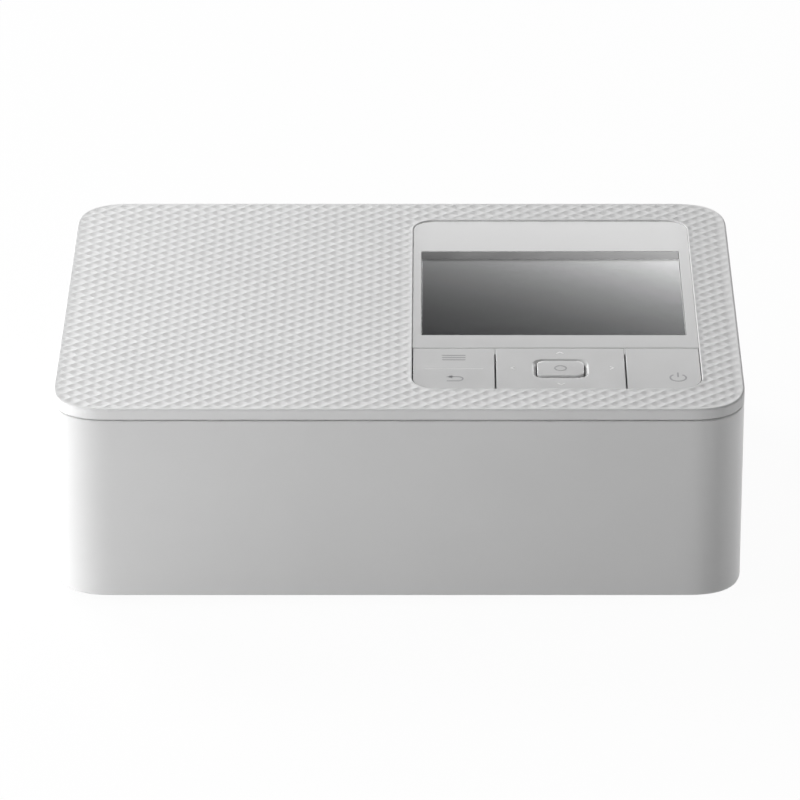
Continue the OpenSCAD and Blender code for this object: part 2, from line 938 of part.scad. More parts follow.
module ok_key() color(white) {
    slab_z([cap_z, key_top + 0.1])
        round_rect([pad_x - ok_w / 2, pad_x + ok_w / 2], [pad_y - ok_d / 2, pad_y + ok_d / 2], 2);
    stem([pad_x, pad_y]);
}

module power_key() color(white) {
    key_cap([power_x0 + line_half, panel_x1]);
    stem(power_stem);
}

module key_board() color(board_green)
    block(
        [panel_x0 + deck_in, panel_x1 - deck_in - 1],
        [key_y0 + 2, key_y1 + 2.5],
        [key_board_top - board_t, key_board_top]
    );

module key_switches() color(dark)
    for (at = stem_list) {
        block([at[0] - 2, at[0] + 2], [at[1] - 2, at[1] + 2], [key_board_top, switch_top - 0.3]);
        post(at, [switch_top - 0.4, switch_top], 0.9);
    }

// ---------- boards and ports ----------
module control_board() color(board_green) {
    difference() {
        block(control_x, control_y, [control_z, control_z + board_t]);
        for (at = control_posts)
            post(at, [control_z - 1, control_z + board_t + 1], 1.1);
    }
}

module card_reader() color(steel) {
    difference() {
        block([port_x, port_x + 26], reader_y, [control_z - reader_h, control_z]);
        block(
            [port_x - 1, port_x + 22],
            [reader_y[0] + 1.8, reader_y[1] - 1.8],
            [control_z - reader_h + 0.4, control_z - 0.6]
        );
    }
}

// A metal socket that opens to the left, with its tongue
module side_port(x1, y, h, t, tongue) {
    z0 = control_z + board_t;
    difference() {
        block([port_x, x1], y, [z0, z0 + h]);
        block([port_x - 1, x1 - 1], [y[0] + t, y[1] - t], [z0 + t, z0 + h - t]);
    }
    block([port_x + 1, x1 - 0.5], [y[0] + t + 0.9, y[1] - t - 0.9], tongue);
}

module usb_a_port() color(steel) {
    z0 = control_z + board_t;
    side_port(port_x + 14, usb_a_y, usb_a_h, 0.4, [z0 + 3.2, z0 + 4.8]);
}

module usb_c_port() color(steel) {
    z0 = control_z + board_t;
    side_port(port_x + 7.5, usb_c_y, usb_c_h, 0.3, [z0 + 1.3, z0 + 2]);
}

module power_board() color(board_green) {
    difference() {
        block(power_x, power_y, [power_z, power_z + board_t]);
        for (at = power_posts)
            post(at, [power_z - 1, power_z + board_t + 1], 1.1);
    }
}

// Chips, coils and capacitors on the two boards
module board_chips() color([0.17, 0.17, 0.19]) {
    z = power_z + board_t;
    block([-20, -6], [4, 18], [z, z + 1.6]);
    block([6, 18], [30, 42], [z, z + 3.5]);
    block([28, 36], [-4, 4], [z, z + 1.2]);
    for (i = [0 : 3])
        post([32 + 9 * i, 47], [z, z + 7], 3.2);
    block(
        [control_x[0] + 10, control_x[0] + 18],
        [-16, -8],
        [control_z + board_t, control_z + board_t + 1.2]
    );
}

module battery_connector() color(dark)
    difference() {
        block([terminal_x[0] + 3, terminal_x[1] - 3], [power_y[1] - 6, power_y[1]], [power_z + board_t, 15]);
        for (i = [0 : 3])
            block(
                [terminal_x[0] + 5 + 4.4 * i, terminal_x[0] + 7 + 4.4 * i],
                [power_y[1] - 3, power_y[1] + 1],
                [9.4, 13.2]
            );
    }

module dc_inlet() color(dark) {
    mid = [(inlet_x[0] + inlet_x[1]) / 2, (power_z + board_t + inlet_z1) / 2];
    difference() {
        block(inlet_x, [half_d - 14, half_d - 0.8], [power_z + board_t, inlet_z1]);
        slab_y([half_d - 10.5, half_d])
            translate(mid)
                circle(inlet_r);
    }
    slab_y([half_d - 11, half_d - 1.8])
        translate(mid)
            circle(0.85);
}

// Flat cable from the display, along under the top cover and down to the control board
module display_cable() color([0.75, 0.72, 0.62]) {
    z1 = display_z1 - 1.2;
    x0 = control_x[1] - 6;
    z0 = control_z + board_t + 2.4;
    t = 0.3;
    x1 = window_x0 - 0.4;
    slab_y([-20.5, -8.5])
        polygon([[x1, z1], [x1, z1 + t], [x0 - t, z1 + t], [x0 - t, z0], [x0, z0], [x0, z1]]);
    block([x0 - 2.2, x0 + 2], [-21.5, -7.5], [control_z + board_t, z0]);
}

// ---------- print mechanism ----------
module frame_bores(x) {
    for (at = [[platen_y, platen_z], [capstan_y, capstan_z]])
        rod_x(x, at, bush_r + 0.02);
    rod_x(x, [capstan_y, pinch_z], head_pin_r + run_fit);
    rod_x(x, head_pivot, head_pin_r + run_fit);
    rod_x(x, pickup_pivot, shaft_r + run_fit);
}

module frame_side(x) {
    slab_x(x)
        polygon([
            [frame_y0, frame_arm_z], [frame_y0, frame_low], [frame_step, frame_low],
            [frame_step + 2.2, frame_top], [frame_y1 - 3, frame_top], [frame_y1, frame_top - 3],
            [frame_y1, base_top], [frame_foot_y, base_top], [frame_foot_y, frame_arm_z]
        ]);
}

module left_frame() color(steel) {
    x = [left_x0, left_x1];
    cut = [left_x0 - 1, left_x1 + 1];
    difference() {
        union() {
            frame_side(x);
            for (y = tab_y)
                block([left_x0, left_x0 + tab_w], y, [base_top, base_top + sheet_t]);
        }
        frame_bores(cut);
        rod_x(cut, [takeup_y, spool_z], shaft_r + run_fit);
        rod_x(cut, idler_pos, idler_pin_r + 0.02);
    }
}

module right_frame() color(steel) {
    x = [right_x0, right_x1];
    cut = [right_x0 - 1, right_x1 + 1];
    difference() {
        union() {
            frame_side(x);
            for (y = tab_y)
                block([right_x1 - tab_w, right_x1], y, [base_top, base_top + sheet_t]);
        }
        frame_bores(cut);
        slab_x(cut)
            round_rect(
                [supply_y - tube_r - tube_gap, takeup_y + tube_r + tube_gap],
                [spool_z - tube_r - 1.8, spool_z + tube_r + 0.6],
                2
            );
        rod_x(cut, lever_pos, lever_pin_r + 0.02);
    }
}

module gear_plate() color(steel) {
    x = [gear_plate_x0, gear_plate_x1];
    cut = [gear_plate_x0 - 1, gear_plate_x1 + 1];
    difference() {
        union() {
            slab_x(x)
                polygon([[-1.5, base_top], [-1.5, 51], [56, 51], [frame_y1, 45], [frame_y1, base_top]]);
            block([gear_plate_x0, gear_plate_x0 + tab_w], [50, 60], [base_top, base_top + sheet_t]);
        }
        rod_x(cut, feed_pos, motor_shaft_r + 0.4);
        rod_x(cut, ribbon_pos, motor_shaft_r + 0.4);
        rod_x(cut, idler_pos, idler_pin_r + 0.02);
        rod_x(cut, [takeup_y, spool_z], shaft_r + run_fit);
        rod_x(cut, [capstan_y, capstan_z], capstan_journal_r + run_fit);
    }
}

// Spacers between the left frame and the gear plate, and the idler's fixed pin
module frame_posts() color(steel) {
    for (at = post_list)
        rod_x([gear_plate_x1, left_x0], at, post_r);
    rod_x([gear_plate_x0, left_x1], idler_pos, idler_pin_r);
}

module tie_bars() color(steel)
    for (at = tie_list)
        rod_x([left_x1, right_x0], at, tie_r);

// Small screws of the boards and the mechanism
module inner_screws() color(steel) {
    for (at = power_posts) {
        post(at, [power_z + board_t, power_z + board_t + 1.2], 2);
        post(at, [power_z + 0.05, power_z + board_t + 0.1], 1);
    }
    for (at = control_posts) {
        post(at, [control_z + board_t, control_z + board_t + 1.2], 2);
        post(at, [control_z + 0.05, control_z + board_t + 0.1], 1);
    }
    for (at = tie_list)
        rod_x([right_x1, right_x1 + screw_head_t], at, 2);
    rod_x([left_x0 - screw_head_t, left_x0], tie_list[0], 2);
    for (at = post_list)
        rod_x([gear_plate_x0 - screw_head_t, gear_plate_x0], at, 2);
}

// Lower guide plates of the paper path, in front of the capstan and behind it
module paper_guides() color(dark) {
    guide_x = [path_x - paper_w / 2 - paper_side, path_x + paper_w / 2 + paper_side];
    difference() {
        block(
            [left_x1 + part_gap, right_x0 - part_gap],
            [-12, capstan_y - capstan_r - roller_slot],
            [guide_z, guide_z + guide_t]
        );
        block(
            guide_x,
            [platen_y - platen_r - roller_slot, platen_y + platen_r + roller_slot],
            [guide_z - 1, guide_z + guide_t + 1]
        );
    }
    block(
        [left_x1 + part_gap, right_x0 - part_gap],
        [capstan_y + capstan_r + roller_slot, half_d - wall - part_gap],
        [guide_z, guide_z + guide_t]
    );
}

module platen_shaft() color(steel)
    rod_x([left_x0 - 0.6, right_x1 + 1.4], [platen_y, platen_z], shaft_r);

module platen_roller() color(dark)
    difference() {
        rod_x([path_x - head_w / 2, path_x + head_w / 2], [platen_y, platen_z], platen_r);
        rod_x([path_x - head_w, path_x + head_w], [platen_y, platen_z], shaft_r);
    }

module capstan_shaft() color(steel) {
    at = [capstan_y, capstan_z];
    rod_x([path_x - paper_w / 2 - 2, path_x + paper_w / 2 + 2], at, capstan_r);
    rod_x([gear_plate_x0 - 0.4, right_x1 + 1.4], at, capstan_journal_r);
}

module capstan_gear() color(gear_white)
    gear([layer_a, layer_a + gear_w], [capstan_y, capstan_z], capstan_n, train_angle, capstan_journal_r);

// Bearings of the platen and the capstan in the side frames
module shaft_bushes() color([0.72, 0.55, 0.25])
    for (x = [[left_x0 - bush_out, left_x1 + bush_out], [right_x0 - bush_out, right_x1 + bush_out]]) {
        bush(x, [platen_y, platen_z], shaft_r);
        bush(x, [capstan_y, capstan_z], capstan_journal_r);
    }

module bush(x, at, r) {
    slab_x(x)
        translate(at)
            difference() {
                circle(bush_r);
                circle(r + run_fit);
            }
}

module pinch_roller() color(dark) {
    at = [capstan_y, pinch_z];
    rod_x([left_x0 - 0.6, right_x1 + 0.6], at, head_pin_r);
    for (i = [-1 : 1])
        rod_x([path_x + 34 * i - 12, path_x + 34 * i + 12], at, pinch_r);
}

module idler_gear() color(gear_white)
    gear([layer_a, layer_a + gear_w], idler_pos, idler_n, idler_phase, idler_pin_r + run_fit);

module feed_motor() color(steel)
    difference() {
        rod_x([gear_plate_x0 - feed_motor_len, gear_plate_x0], feed_pos, feed_motor_r);
        rod_x([gear_plate_x0 - 5, gear_plate_x0 + 1], feed_pos, motor_shaft_r + 0.4);
    }

module feed_pinion() color([0.78, 0.62, 0.3]) {
    gear([layer_a, layer_a + gear_w], feed_pos, feed_n, feed_phase, motor_shaft_r);
    rod_x([gear_plate_x0 - 4.5, layer_a + gear_w], feed_pos, motor_shaft_r);
}

module ribbon_motor() color(steel)
    difference() {
        rod_x([gear_plate_x0 - ribbon_motor_len, gear_plate_x0], ribbon_pos, ribbon_motor_r);
        rod_x([gear_plate_x0 - 5, gear_plate_x0 + 1], ribbon_pos, motor_shaft_r + 0.4);
    }

module ribbon_pinion() color([0.78, 0.62, 0.3]) {
    gear([layer_b, layer_b + gear_w], ribbon_pos, ribbon_n, ribbon_phase, motor_shaft_r);
    rod_x([gear_plate_x0 - 4.5, layer_b + gear_w], ribbon_pos, motor_shaft_r);
}

module takeup_spindle() color(steel) {
    at = [takeup_y, spool_z];
    rod_x([gear_plate_x0 - 0.4, cassette_x0 - 0.6], at, shaft_r);
    rod_x([cassette_x0 - 1, cassette_x0 + 2.4], at, dog_r);
}

module spindle_gear() color(gear_white)
    gear([layer_b, layer_b + gear_w], [takeup_y, spool_z], spindle_n, ribbon_angle, shaft_r);

module head_bracket() color(steel) {
    block([arm_left, arm_right + arm_t], beam_y, [beam_z[1] - beam_t, beam_z[1]]);
    for (x = [arm_left, arm_right])
        slab_x([x, x + arm_t])
            union() {
                polygon([
                    [beam_y[0], beam_z[0]], [beam_y[0], beam_z[1]], [beam_y[0] + 4, beam_z[1] + 4.4],
                    [head_pivot[0], head_pivot[1] + 3], [head_pivot[0], head_pivot[1] - 3],
                    [beam_y[1] + 3, beam_z[1] + 0.6],
                    [beam_y[1], beam_z[1] - beam_t], [beam_y[1], beam_z[0]]
                ]);
                translate(head_pivot)
                    circle(3);
            }
    rod_x([left_x0 - 0.4, arm_left + 0.5], head_pivot, head_pin_r);
    rod_x([arm_right + 1, right_x1 + 0.4], head_pivot, head_pin_r);
}

module thermal_head() color([0.8, 0.8, 0.82]) {
    x = [path_x - head_w / 2, path_x + head_w / 2];
    low = ribbon_z + 0.35 + head_gap;
    difference() {
        block(x, [platen_y - 3, platen_y + 3], [low, beam_z[1] - beam_t]);
        for (y = [platen_y - 1.6, platen_y + 1.6])
            block([x[0] - 1, x[1] + 1], [y - 0.5, y + 0.5], [low + 3, beam_z[1] - beam_t - 1]);
    }
}

module pickup_shaft() color(steel)
    rod_x([left_x0 - 0.6, right_x1], pickup_pivot, shaft_r);

module pickup_arm() color(dark)
    difference() {
        union() {
            for (s = [-1, 1])
                slab_x([path_x + s * pickup_arm_x - 1, path_x + s * pickup_arm_x + 1])
                    capsule(pickup_pivot, pickup_pos, pickup_eye_r, 3);
            block([path_x - pickup_arm_x - 1, path_x + pickup_arm_x + 1], [-23.6, -19.6], [43, 45]);
        }
        rod_x([path_x - 30, path_x + 30], pickup_pivot, shaft_r + run_fit);
        rod_x([path_x - 30, path_x + 30], pickup_pos, 1.5 + run_fit);
    }

module pickup_roller() color(dark) {
    difference() {
        rod_x([path_x - 14, path_x + 14], pickup_pos, pickup_r);
        for (i = [0 : 11])
            rod_x(
                [path_x - 15, path_x + 15],
                pickup_pos + (pickup_r + 0.25) * [cos(30 * i), sin(30 * i)],
                0.7
            );
    }
    rod_x([path_x - pickup_arm_x - 1.4, path_x + pickup_arm_x + 1.4], pickup_pos, 1.5);
}

// ---------- ink cassette ----------
// Side view of a cassette end: two discs and the low bridge between them
module cassette_end() {
    for (y = [supply_y, takeup_y])
        translate([y, spool_z])
            circle(tube_r);
    rect([supply_y, takeup_y], [bridge_z0, bridge_z1]);
}

module ink_cassette() color(ink_grey) {
    difference() {
        union() {
            for (y = [supply_y, takeup_y])
                rod_x([cassette_x0, cassette_x1], [y, spool_z], tube_r);
            for (x = [cassette_x0, cassette_x1 - end_t])
                slab_x([x, x + end_t])
                    cassette_end();
            slab_x([cassette_x1 - 1, handle_x1])
                round_rect([supply_y - 7.5, supply_y + 6.5], [spool_z - 4.5, spool_z + 5], 2);
        }
        for (y = [supply_y, takeup_y]) {
            rod_x([cassette_x0 + end_t, cassette_x1 - end_t], [y, spool_z], tube_r - tube_t);
            rod_x([cassette_x0 - 1, cassette_x1 + 0.6], [y, spool_z], journal_r + run_fit);
        }
        // Slots through which the film leaves one tube and enters the other
        for (y = [[supply_y + 1.5, supply_y + 11], [takeup_y - 11, takeup_y - 1.5]])
            block([cassette_x0 + end_t, cassette_x1 - end_t], y, [bridge_z0 - 1, spool_z - takeup_roll_r - 0.6]);
        // Finger scoops in the handle
        for (z = [spool_z - 6, spool_z + 6.5])
            slab_y([supply_y - 9, supply_y + 9])
                translate([handle_x1 - 5.5, z])
                    circle(3.6);
    }
}

// A spool core with its journals and the film wound on it
module spool(y, roll_r, socket) {
    at = [y, spool_z];
    difference() {
        union() {
            rod_x([cassette_x0 + end_t + 0.4, cassette_x1 - end_t - 0.4], at, core_r);
            rod_x([cassette_x0 + 0.2, cassette_x1 - 0.2], at, journal_r);
            rod_x([path_x - paper_w / 2 - 1, path_x + paper_w / 2 + 1], at, roll_r);
        }
        if (socket)
            rod_x([cassette_x0 - 1, cassette_x0 + 3], at, dog_r + part_gap);
    }
}

module supply_spool() color([0.2, 0.2, 0.22])
    spool(supply_y, supply_roll_r, false);

module takeup_spool() color([0.2, 0.2, 0.22])
    spool(takeup_y, takeup_roll_r, true);

// The film between the rolls, thin and level across the window
module ink_ribbon() color([0.5, 0.15, 0.25]) {
    t = 0.2;
    a = [supply_y + 2.6, spool_z - supply_roll_r - 0.2];
    b = [supply_y + 9.6, ribbon_z];
    c = [takeup_y - 10, ribbon_z];
    d = [takeup_y - 2.6, spool_z - takeup_roll_r - 0.2];
    slab_x([path_x - paper_w / 2 - 0.5, path_x + paper_w / 2 + 0.5])
        polygon([a, b, c, d, d + [-t, t * 0.4], c + [-0.1, t], b + [0.1, t], a + [t, t * 0.4]]);
}

module eject_lever() color([0.3, 0.5, 0.75]) {
    grip = lever_pos + lever_grip;
    slab_x([right_x1 + part_gap, right_x1 + part_gap + lever_t])
        union() {
            capsule(lever_pos, lever_pos + lever_tip, lever_eye_r, 1.8);
            capsule(lever_pos, grip, lever_eye_r, lever_grip_r);
        }
    rod_x([right_x1 + part_gap, door_frame_x - 0.5], grip, lever_grip_r);
    rod_x([right_x0 - 0.3, right_x1 + 1], lever_pos, lever_pin_r - run_fit);
}

module fan_housing() color(dark) {
    x = [fan_x0, fan_x0 + fan_depth];
    h = fan_size / 2;
    difference() {
        slab_x(x)
            difference() {
                round_rect([fan_y - h, fan_y + h], [fan_z - h, fan_z + h], 2);
                translate([fan_y, fan_z])
                    circle(fan_bore_r);
            }
        for (sy = [-1, 1])
            for (sz = [-1, 1])
                rod_x([x[0] - 1, x[1] + 1], [fan_y + sy * (h - 2.2), fan_z + sz * (h - 2.2)], 1.1);
    }
    // Hub plate on three struts
    slab_x([x[1] - 1.2, x[1]])
        union() {
            translate([fan_y, fan_z])
                circle(fan_hub_r);
            for (i = [0 : 2])
                translate([fan_y, fan_z])
                    rotate(120 * i + 90)
                        rect([0, fan_bore_r + 0.4], [-1, 1]);
        }
    rod_x([x[0] + 3, x[1] - 1], [fan_y, fan_z], 1);
}

module fan_rotor() color([0.2, 0.2, 0.22]) {
    x = [fan_x0 + 1, fan_x0 + fan_depth - 1.6];
    difference() {
        union() {
            rod_x(x, [fan_y, fan_z], fan_hub_r);
            for (i = [0 : 6])
                slab_x([x[0] + 0.5, x[1] - 0.5])
                    translate([fan_y, fan_z])
                        rotate(360 / 7 * i)
                            polygon([
                                [3, -0.6], [8, 0.5], [fan_blade_r - 0.4, 3.4],
                                [fan_blade_r - 0.8, 4.4], [7.6, 1.5], [3, 0.6]
                            ]);
        }
        rod_x([x[0] + 1.6, x[1] + 1], [fan_y, fan_z], 1 + run_fit);
    }
}

top_cover();
body_shell();
base_tray();
front_cover();
ink_door();
front_frame();
display_bezel();
display_window();
display_module();
menu_key();
pad_carrier();
navigation_pad();
ok_key();
power_key();
key_board();
key_switches();
terminal_cover();
battery_connector();
rubber_feet();
case_screws();
control_board();
card_reader();
usb_a_port();
usb_c_port();
power_board();
board_chips();
dc_inlet();
display_cable();
left_frame();
right_frame();
gear_plate();
frame_posts();
tie_bars();
inner_screws();
paper_guides();
platen_shaft();
platen_roller();
capstan_shaft();
capstan_gear();
pinch_roller();
shaft_bushes();
idler_gear();
feed_motor();
feed_pinion();
ribbon_motor();
ribbon_pinion();
takeup_spindle();
spindle_gear();
head_bracket();
thermal_head();
pickup_shaft();
pickup_arm();
pickup_roller();
ink_cassette();
supply_spool();
takeup_spool();
ink_ribbon();
eject_lever();
fan_housing();
fan_rotor();
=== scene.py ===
"""Looks of a compact photo printer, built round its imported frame.

Every mesh is made in millimetres in the frame of the part: X to the right, Y to the
back, Z up, with the origin at the centre of the footprint on the table.
"""

import logging
import math
from collections.abc import Callable, Sequence
from dataclasses import dataclass, field
from enum import Enum
from typing import NamedTuple

import bmesh
import bpy
import numpy as np
from mathutils import Matrix, Vector


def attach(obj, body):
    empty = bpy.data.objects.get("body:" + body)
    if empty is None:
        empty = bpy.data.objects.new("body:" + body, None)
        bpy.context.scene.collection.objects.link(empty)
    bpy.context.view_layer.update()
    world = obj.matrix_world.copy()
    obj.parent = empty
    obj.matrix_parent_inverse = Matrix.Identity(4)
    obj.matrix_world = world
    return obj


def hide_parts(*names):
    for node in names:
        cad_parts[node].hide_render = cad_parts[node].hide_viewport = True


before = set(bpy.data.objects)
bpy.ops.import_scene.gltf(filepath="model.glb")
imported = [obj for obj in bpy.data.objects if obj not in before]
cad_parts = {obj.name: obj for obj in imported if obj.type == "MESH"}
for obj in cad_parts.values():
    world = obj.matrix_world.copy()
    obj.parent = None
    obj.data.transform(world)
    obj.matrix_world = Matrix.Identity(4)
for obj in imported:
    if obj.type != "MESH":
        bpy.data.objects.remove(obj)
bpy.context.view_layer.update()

MM = 0.001
LOG = logging.getLogger("photo_printer")

Point = tuple[float, float]
Point3 = tuple[float, float, float]
Loop = list[Point]
Level = tuple[float, float]
Place = Callable[[float, float, float], Vector]
Place2 = tuple[int, int]
Tone = tuple[float, float, float]
MIDDLE = (0.3, 0.7)


# ---------------------------------------------------------------- finishes
class Wiring:
    """A node tree, with short calls that add nodes and join them."""

    def __init__(self, tree: bpy.types.NodeTree) -> None:
        """Keeps the tree's nodes and links."""
        self.nodes, self.links = tree.nodes, tree.links

    def add(self, kind: str, inputs: dict[str | int, object] | None = None) -> bpy.types.Node:
        """Adds a node.

        Args:
            kind: its type, without the start that all shader nodes share.
            inputs: the value or the socket that goes into each input named here.

        Returns:
            The node.
        """
        node = self.nodes.new("ShaderNode" + kind)
        for key, value in (inputs or {}).items():
            if isinstance(value, bpy.types.NodeSocket):
                self.links.new(value, node.inputs[key])
            else:
                node.inputs[key].default_value = value
        return node

    def maths(self, operation: str, *values: object) -> bpy.types.NodeSocket:
        """Gives the result of a calculation on values or sockets."""
        node = self.add("Math", dict(enumerate(values)))
        node.operation = operation
        return node.outputs[0]

    def seen(self) -> bpy.types.NodeSocket:
        """Gives 1 to the camera, to gloss and to what glass lets through, else 0."""
        rays = self.add("LightPath").outputs
        straight = self.maths("MAXIMUM", rays["Is Camera Ray"], rays["Is Transmission Ray"])
        return self.maths("MAXIMUM", straight, rays["Is Glossy Ray"])


class Tree(Wiring):
    """A material's node tree, with short calls for what the finishes need."""

    def __init__(self, name: str) -> None:
        """Starts a material of that name with one principled shader."""
        self.material = bpy.data.materials.new(name)
        self.material.use_nodes = True
        super().__init__(self.material.node_tree)
        self.shader = self.nodes["Principled BSDF"]
        self.place = self.add("TexCoord").outputs["Object"]

    def set(self, socket: str, value: object) -> None:
        """Sets a plain value on the shader's own socket."""
        self.shader.inputs[socket].default_value = value

    def show(self, output: bpy.types.NodeSocket) -> None:
        """Makes the material show another shader."""
        self.links.new(output, self.nodes["Material Output"].inputs["Surface"])

    def noise(
        self, scale: float, detail: float = 3.0, coords: bpy.types.NodeSocket | None = None
    ) -> bpy.types.NodeSocket:
        """Adds a noise pattern.

        Args:
            scale: how many features fit in a metre.
            detail: how many finer octaves are added.
            coords: where the pattern is read, or None for the object's own coordinates.

        Returns:
            The pattern's value, around 0.5.
        """
        inputs = {"Vector": coords or self.place, "Scale": scale, "Detail": detail}
        return self.add("TexNoise", inputs).outputs["Fac"]

    def blend(self, value: bpy.types.NodeSocket, low: Tone, high: Tone) -> None:
        """Colours the shader between two tones as a pattern says."""
        ramp = self.add("ValToRGB", {"Fac": value})
        for stop, position, tone in zip(ramp.color_ramp.elements, MIDDLE, (low, high)):
            stop.position = position
            stop.color = (*tone, 1.0)
        self.links.new(ramp.outputs["Color"], self.shader.inputs["Base Color"])

    def bump(self, value: bpy.types.NodeSocket, depth: float) -> None:
        """Raises a fine relief of that depth in millimetres."""
        node = self.add("Bump", {"Height": value, "Distance": depth * MM})
        self.links.new(node.outputs["Normal"], self.shader.inputs["Normal"])

    def roughen(self, value: bpy.types.NodeSocket, low: float, high: float) -> None:
        """Varies the roughness between two values, over a pattern's middle range."""
        inputs = {"Value": value, "From Min": MIDDLE[0], "From Max": MIDDLE[1], "To Min": low, "To Max": high}
        node = self.add("MapRange", inputs)
        self.links.new(node.outputs["Result"], self.shader.inputs["Roughness"])


@dataclass(frozen=True)
class Moulded:
    """Injection-moulded plastic or rubber, with a fine grain and a soft mottle."""

    name: str
    colour: Tone
    roughness: float = 0.42
    mottle: float = 0.012
    grain: float = 1600.0
    depth: float = 0.012
    specular: float = 0.5

    def material(self) -> bpy.types.Material:
        """Makes the node material."""
        tree = Tree(self.name)
        soft = tree.noise(35.0, 4.0)
        tree.blend(
            soft,
            tuple(c * (1.0 - self.mottle) for c in self.colour),
            tuple(min(1.0, c * (1.0 + self.mottle)) for c in self.colour),
        )
        tree.roughen(tree.noise(140.0), self.roughness - 0.03, self.roughness + 0.03)
        tree.set("Specular IOR Level", self.specular)
        tree.bump(tree.noise(self.grain, 2.0), self.depth)
        return tree.material


@dataclass(frozen=True)
class Brushed:
    """Sheet or turned metal with fine lines along one axis."""

    name: str
    colour: Tone
    roughness: float = 0.34
    along: int = 0

    def material(self) -> bpy.types.Material:
        """Makes the node material."""
        tree = Tree(self.name)
        scale = [1.0, 1.0, 1.0]
        scale[self.along] = 0.04
        stretched = tree.add("Mapping", {"Vector": tree.place, "Scale": tuple(scale)})
        lines = tree.noise(2600.0, 3.0, stretched.outputs["Vector"])
        tree.blend(lines, tuple(c * 0.9 for c in self.colour), self.colour)
        tree.roughen(tree.noise(60.0), self.roughness - 0.05, self.roughness + 0.05)
        tree.set("Metallic", 1.0)
        tree.bump(lines, 0.004)
        return tree.material


@dataclass(frozen=True)
class Laminate:
    """A circuit board: solder mask over woven glass, with the copper showing through."""

    name: str
    colour: Tone
    copper: Tone

    def material(self) -> bpy.types.Material:
        """Makes the node material."""
        tree = Tree(self.name)
        inputs = {"Vector": tree.place, "Scale": 260.0, "Mortar Size": 0.05}
        tones = {"Color1": self.colour, "Color2": [c * 1.25 for c in self.colour], "Mortar": self.copper}
        tracks = tree.add("TexBrick", inputs | {name: (*tone, 1.0) for name, tone in tones.items()})
        tree.links.new(tracks.outputs["Color"], tree.shader.inputs["Base Color"])
        tree.roughen(tree.noise(300.0), 0.28, 0.4)
        tree.bump(tracks.outputs["Fac"], 0.02)
        return tree.material


@dataclass(frozen=True)
class Glass:
    """The clear cover of the display, with faint wiping marks in its gloss."""

    name: str
    colour: Tone

    def material(self) -> bpy.types.Material:
        """Makes the node material."""
        tree = Tree(self.name)
        tree.blend(tree.noise(12.0), tuple(c * 0.98 for c in self.colour), self.colour)
        tree.roughen(tree.noise(25.0, 5.0), 0.0, 0.03)
        tree.set("Transmission Weight", 1.0)
        tree.set("IOR", 1.7)
        return tree.material


@dataclass(frozen=True)
class Film:
    """Thin dye film, glossy, in its bands of colour."""

    name: str
    bands: tuple[Tone, ...]

    def material(self) -> bpy.types.Material:
        """Makes the node material."""
        tree = Tree(self.name)
        wave = tree.add("TexWave", {"Vector": tree.place, "Scale": 12.0, "Distortion": 0.0})
        wave.bands_direction = "Y"
        tree.blend(wave.outputs["Fac"], self.bands[0], self.bands[1])
        tree.roughen(tree.noise(90.0), 0.12, 0.22)
        return tree.material


WHITE = (0.80, 0.80, 0.80)


class Look(Enum):
    """Every finish on the printer."""

    SHELL = Moulded("white_shell_plastic", WHITE, 0.36)
    TOP = Moulded("white_relief_plastic", (0.88, 0.88, 0.88), 0.55, specular=0.0)
    PANEL = Moulded("white_panel_plastic", (0.62, 0.62, 0.62), 0.24, depth=0.005)
    INNER = Moulded("pale_inner_plastic", (0.62, 0.62, 0.63), 0.5, depth=0.02)
    TRAY = Moulded("pale_tray_plastic", (0.66, 0.66, 0.67), 0.52, depth=0.02)
    MARK = Moulded("grey_legend_ink", (0.30, 0.30, 0.31), 0.5, depth=0.003)
    # Painted highlight: pale grey that stands for the lit edges of a groove and of raised chevrons.
    LIT_EDGE = Moulded("painted_highlight_ink", (0.86, 0.86, 0.86), 0.5, depth=0.003)
    RUBBER = Moulded("black_rubber", (0.035, 0.035, 0.037), 0.72, 0.08, 900.0, 0.03)
    BLACK = Moulded("black_plastic", (0.03, 0.03, 0.032), 0.45, 0.06)
    GUIDE = Moulded("dark_guide_plastic", (0.06, 0.06, 0.065), 0.4, 0.06)
    CASSETTE = Moulded("grey_cassette_plastic", (0.10, 0.10, 0.115), 0.38, 0.05)
    SPOOL = Moulded("dark_spool_plastic", (0.045, 0.045, 0.05), 0.4, 0.05)
    GEAR = Moulded("natural_gear_plastic", (0.78, 0.75, 0.66), 0.38, 0.02)
    LEVER = Moulded("blue_lever_plastic", (0.10, 0.22, 0.42), 0.4, 0.04)
    CERAMIC = Moulded("head_ceramic", (0.72, 0.72, 0.74), 0.32, 0.02)
    FLEX = Moulded("flat_cable_film", (0.62, 0.56, 0.42), 0.34, 0.04)
    SCREEN = Moulded("switched_off_screen", (0.022, 0.022, 0.022), 0.2, 0.05, depth=0.0, specular=0.1)
    PRINT = Moulded("black_window_print", (0.006, 0.006, 0.006), 0.5, 0.05, depth=0.0, specular=0.0)
    # Painted shade: a dark glossy sheet over the glass's back band, where the window's recessed wall lies in
    # shade.
    STRIP = Moulded("painted_window_shade", (0.03, 0.03, 0.03), 0.08, 0.02, depth=0.0, specular=0.6)
    CHIP = Moulded("chip_epoxy", (0.022, 0.022, 0.024), 0.55, 0.1, 1200.0, 0.02)
    STEEL = Brushed("plated_steel", (0.60, 0.60, 0.61))
    SHAFT = Brushed("ground_steel_shaft", (0.66, 0.66, 0.67), 0.22)
    SOCKET = Brushed("socket_shell_metal", (0.68, 0.68, 0.69), 0.35)
    BRASS = Brushed("turned_brass", (0.70, 0.52, 0.24), 0.34)
    BOARD = Laminate("green_circuit_board", (0.012, 0.075, 0.035), (0.03, 0.14, 0.06))
    GLASS = Glass("display_cover", (0.86, 0.87, 0.88))
    RIBBON = Film("dye_film", ((0.42, 0.05, 0.16), (0.05, 0.12, 0.32)))


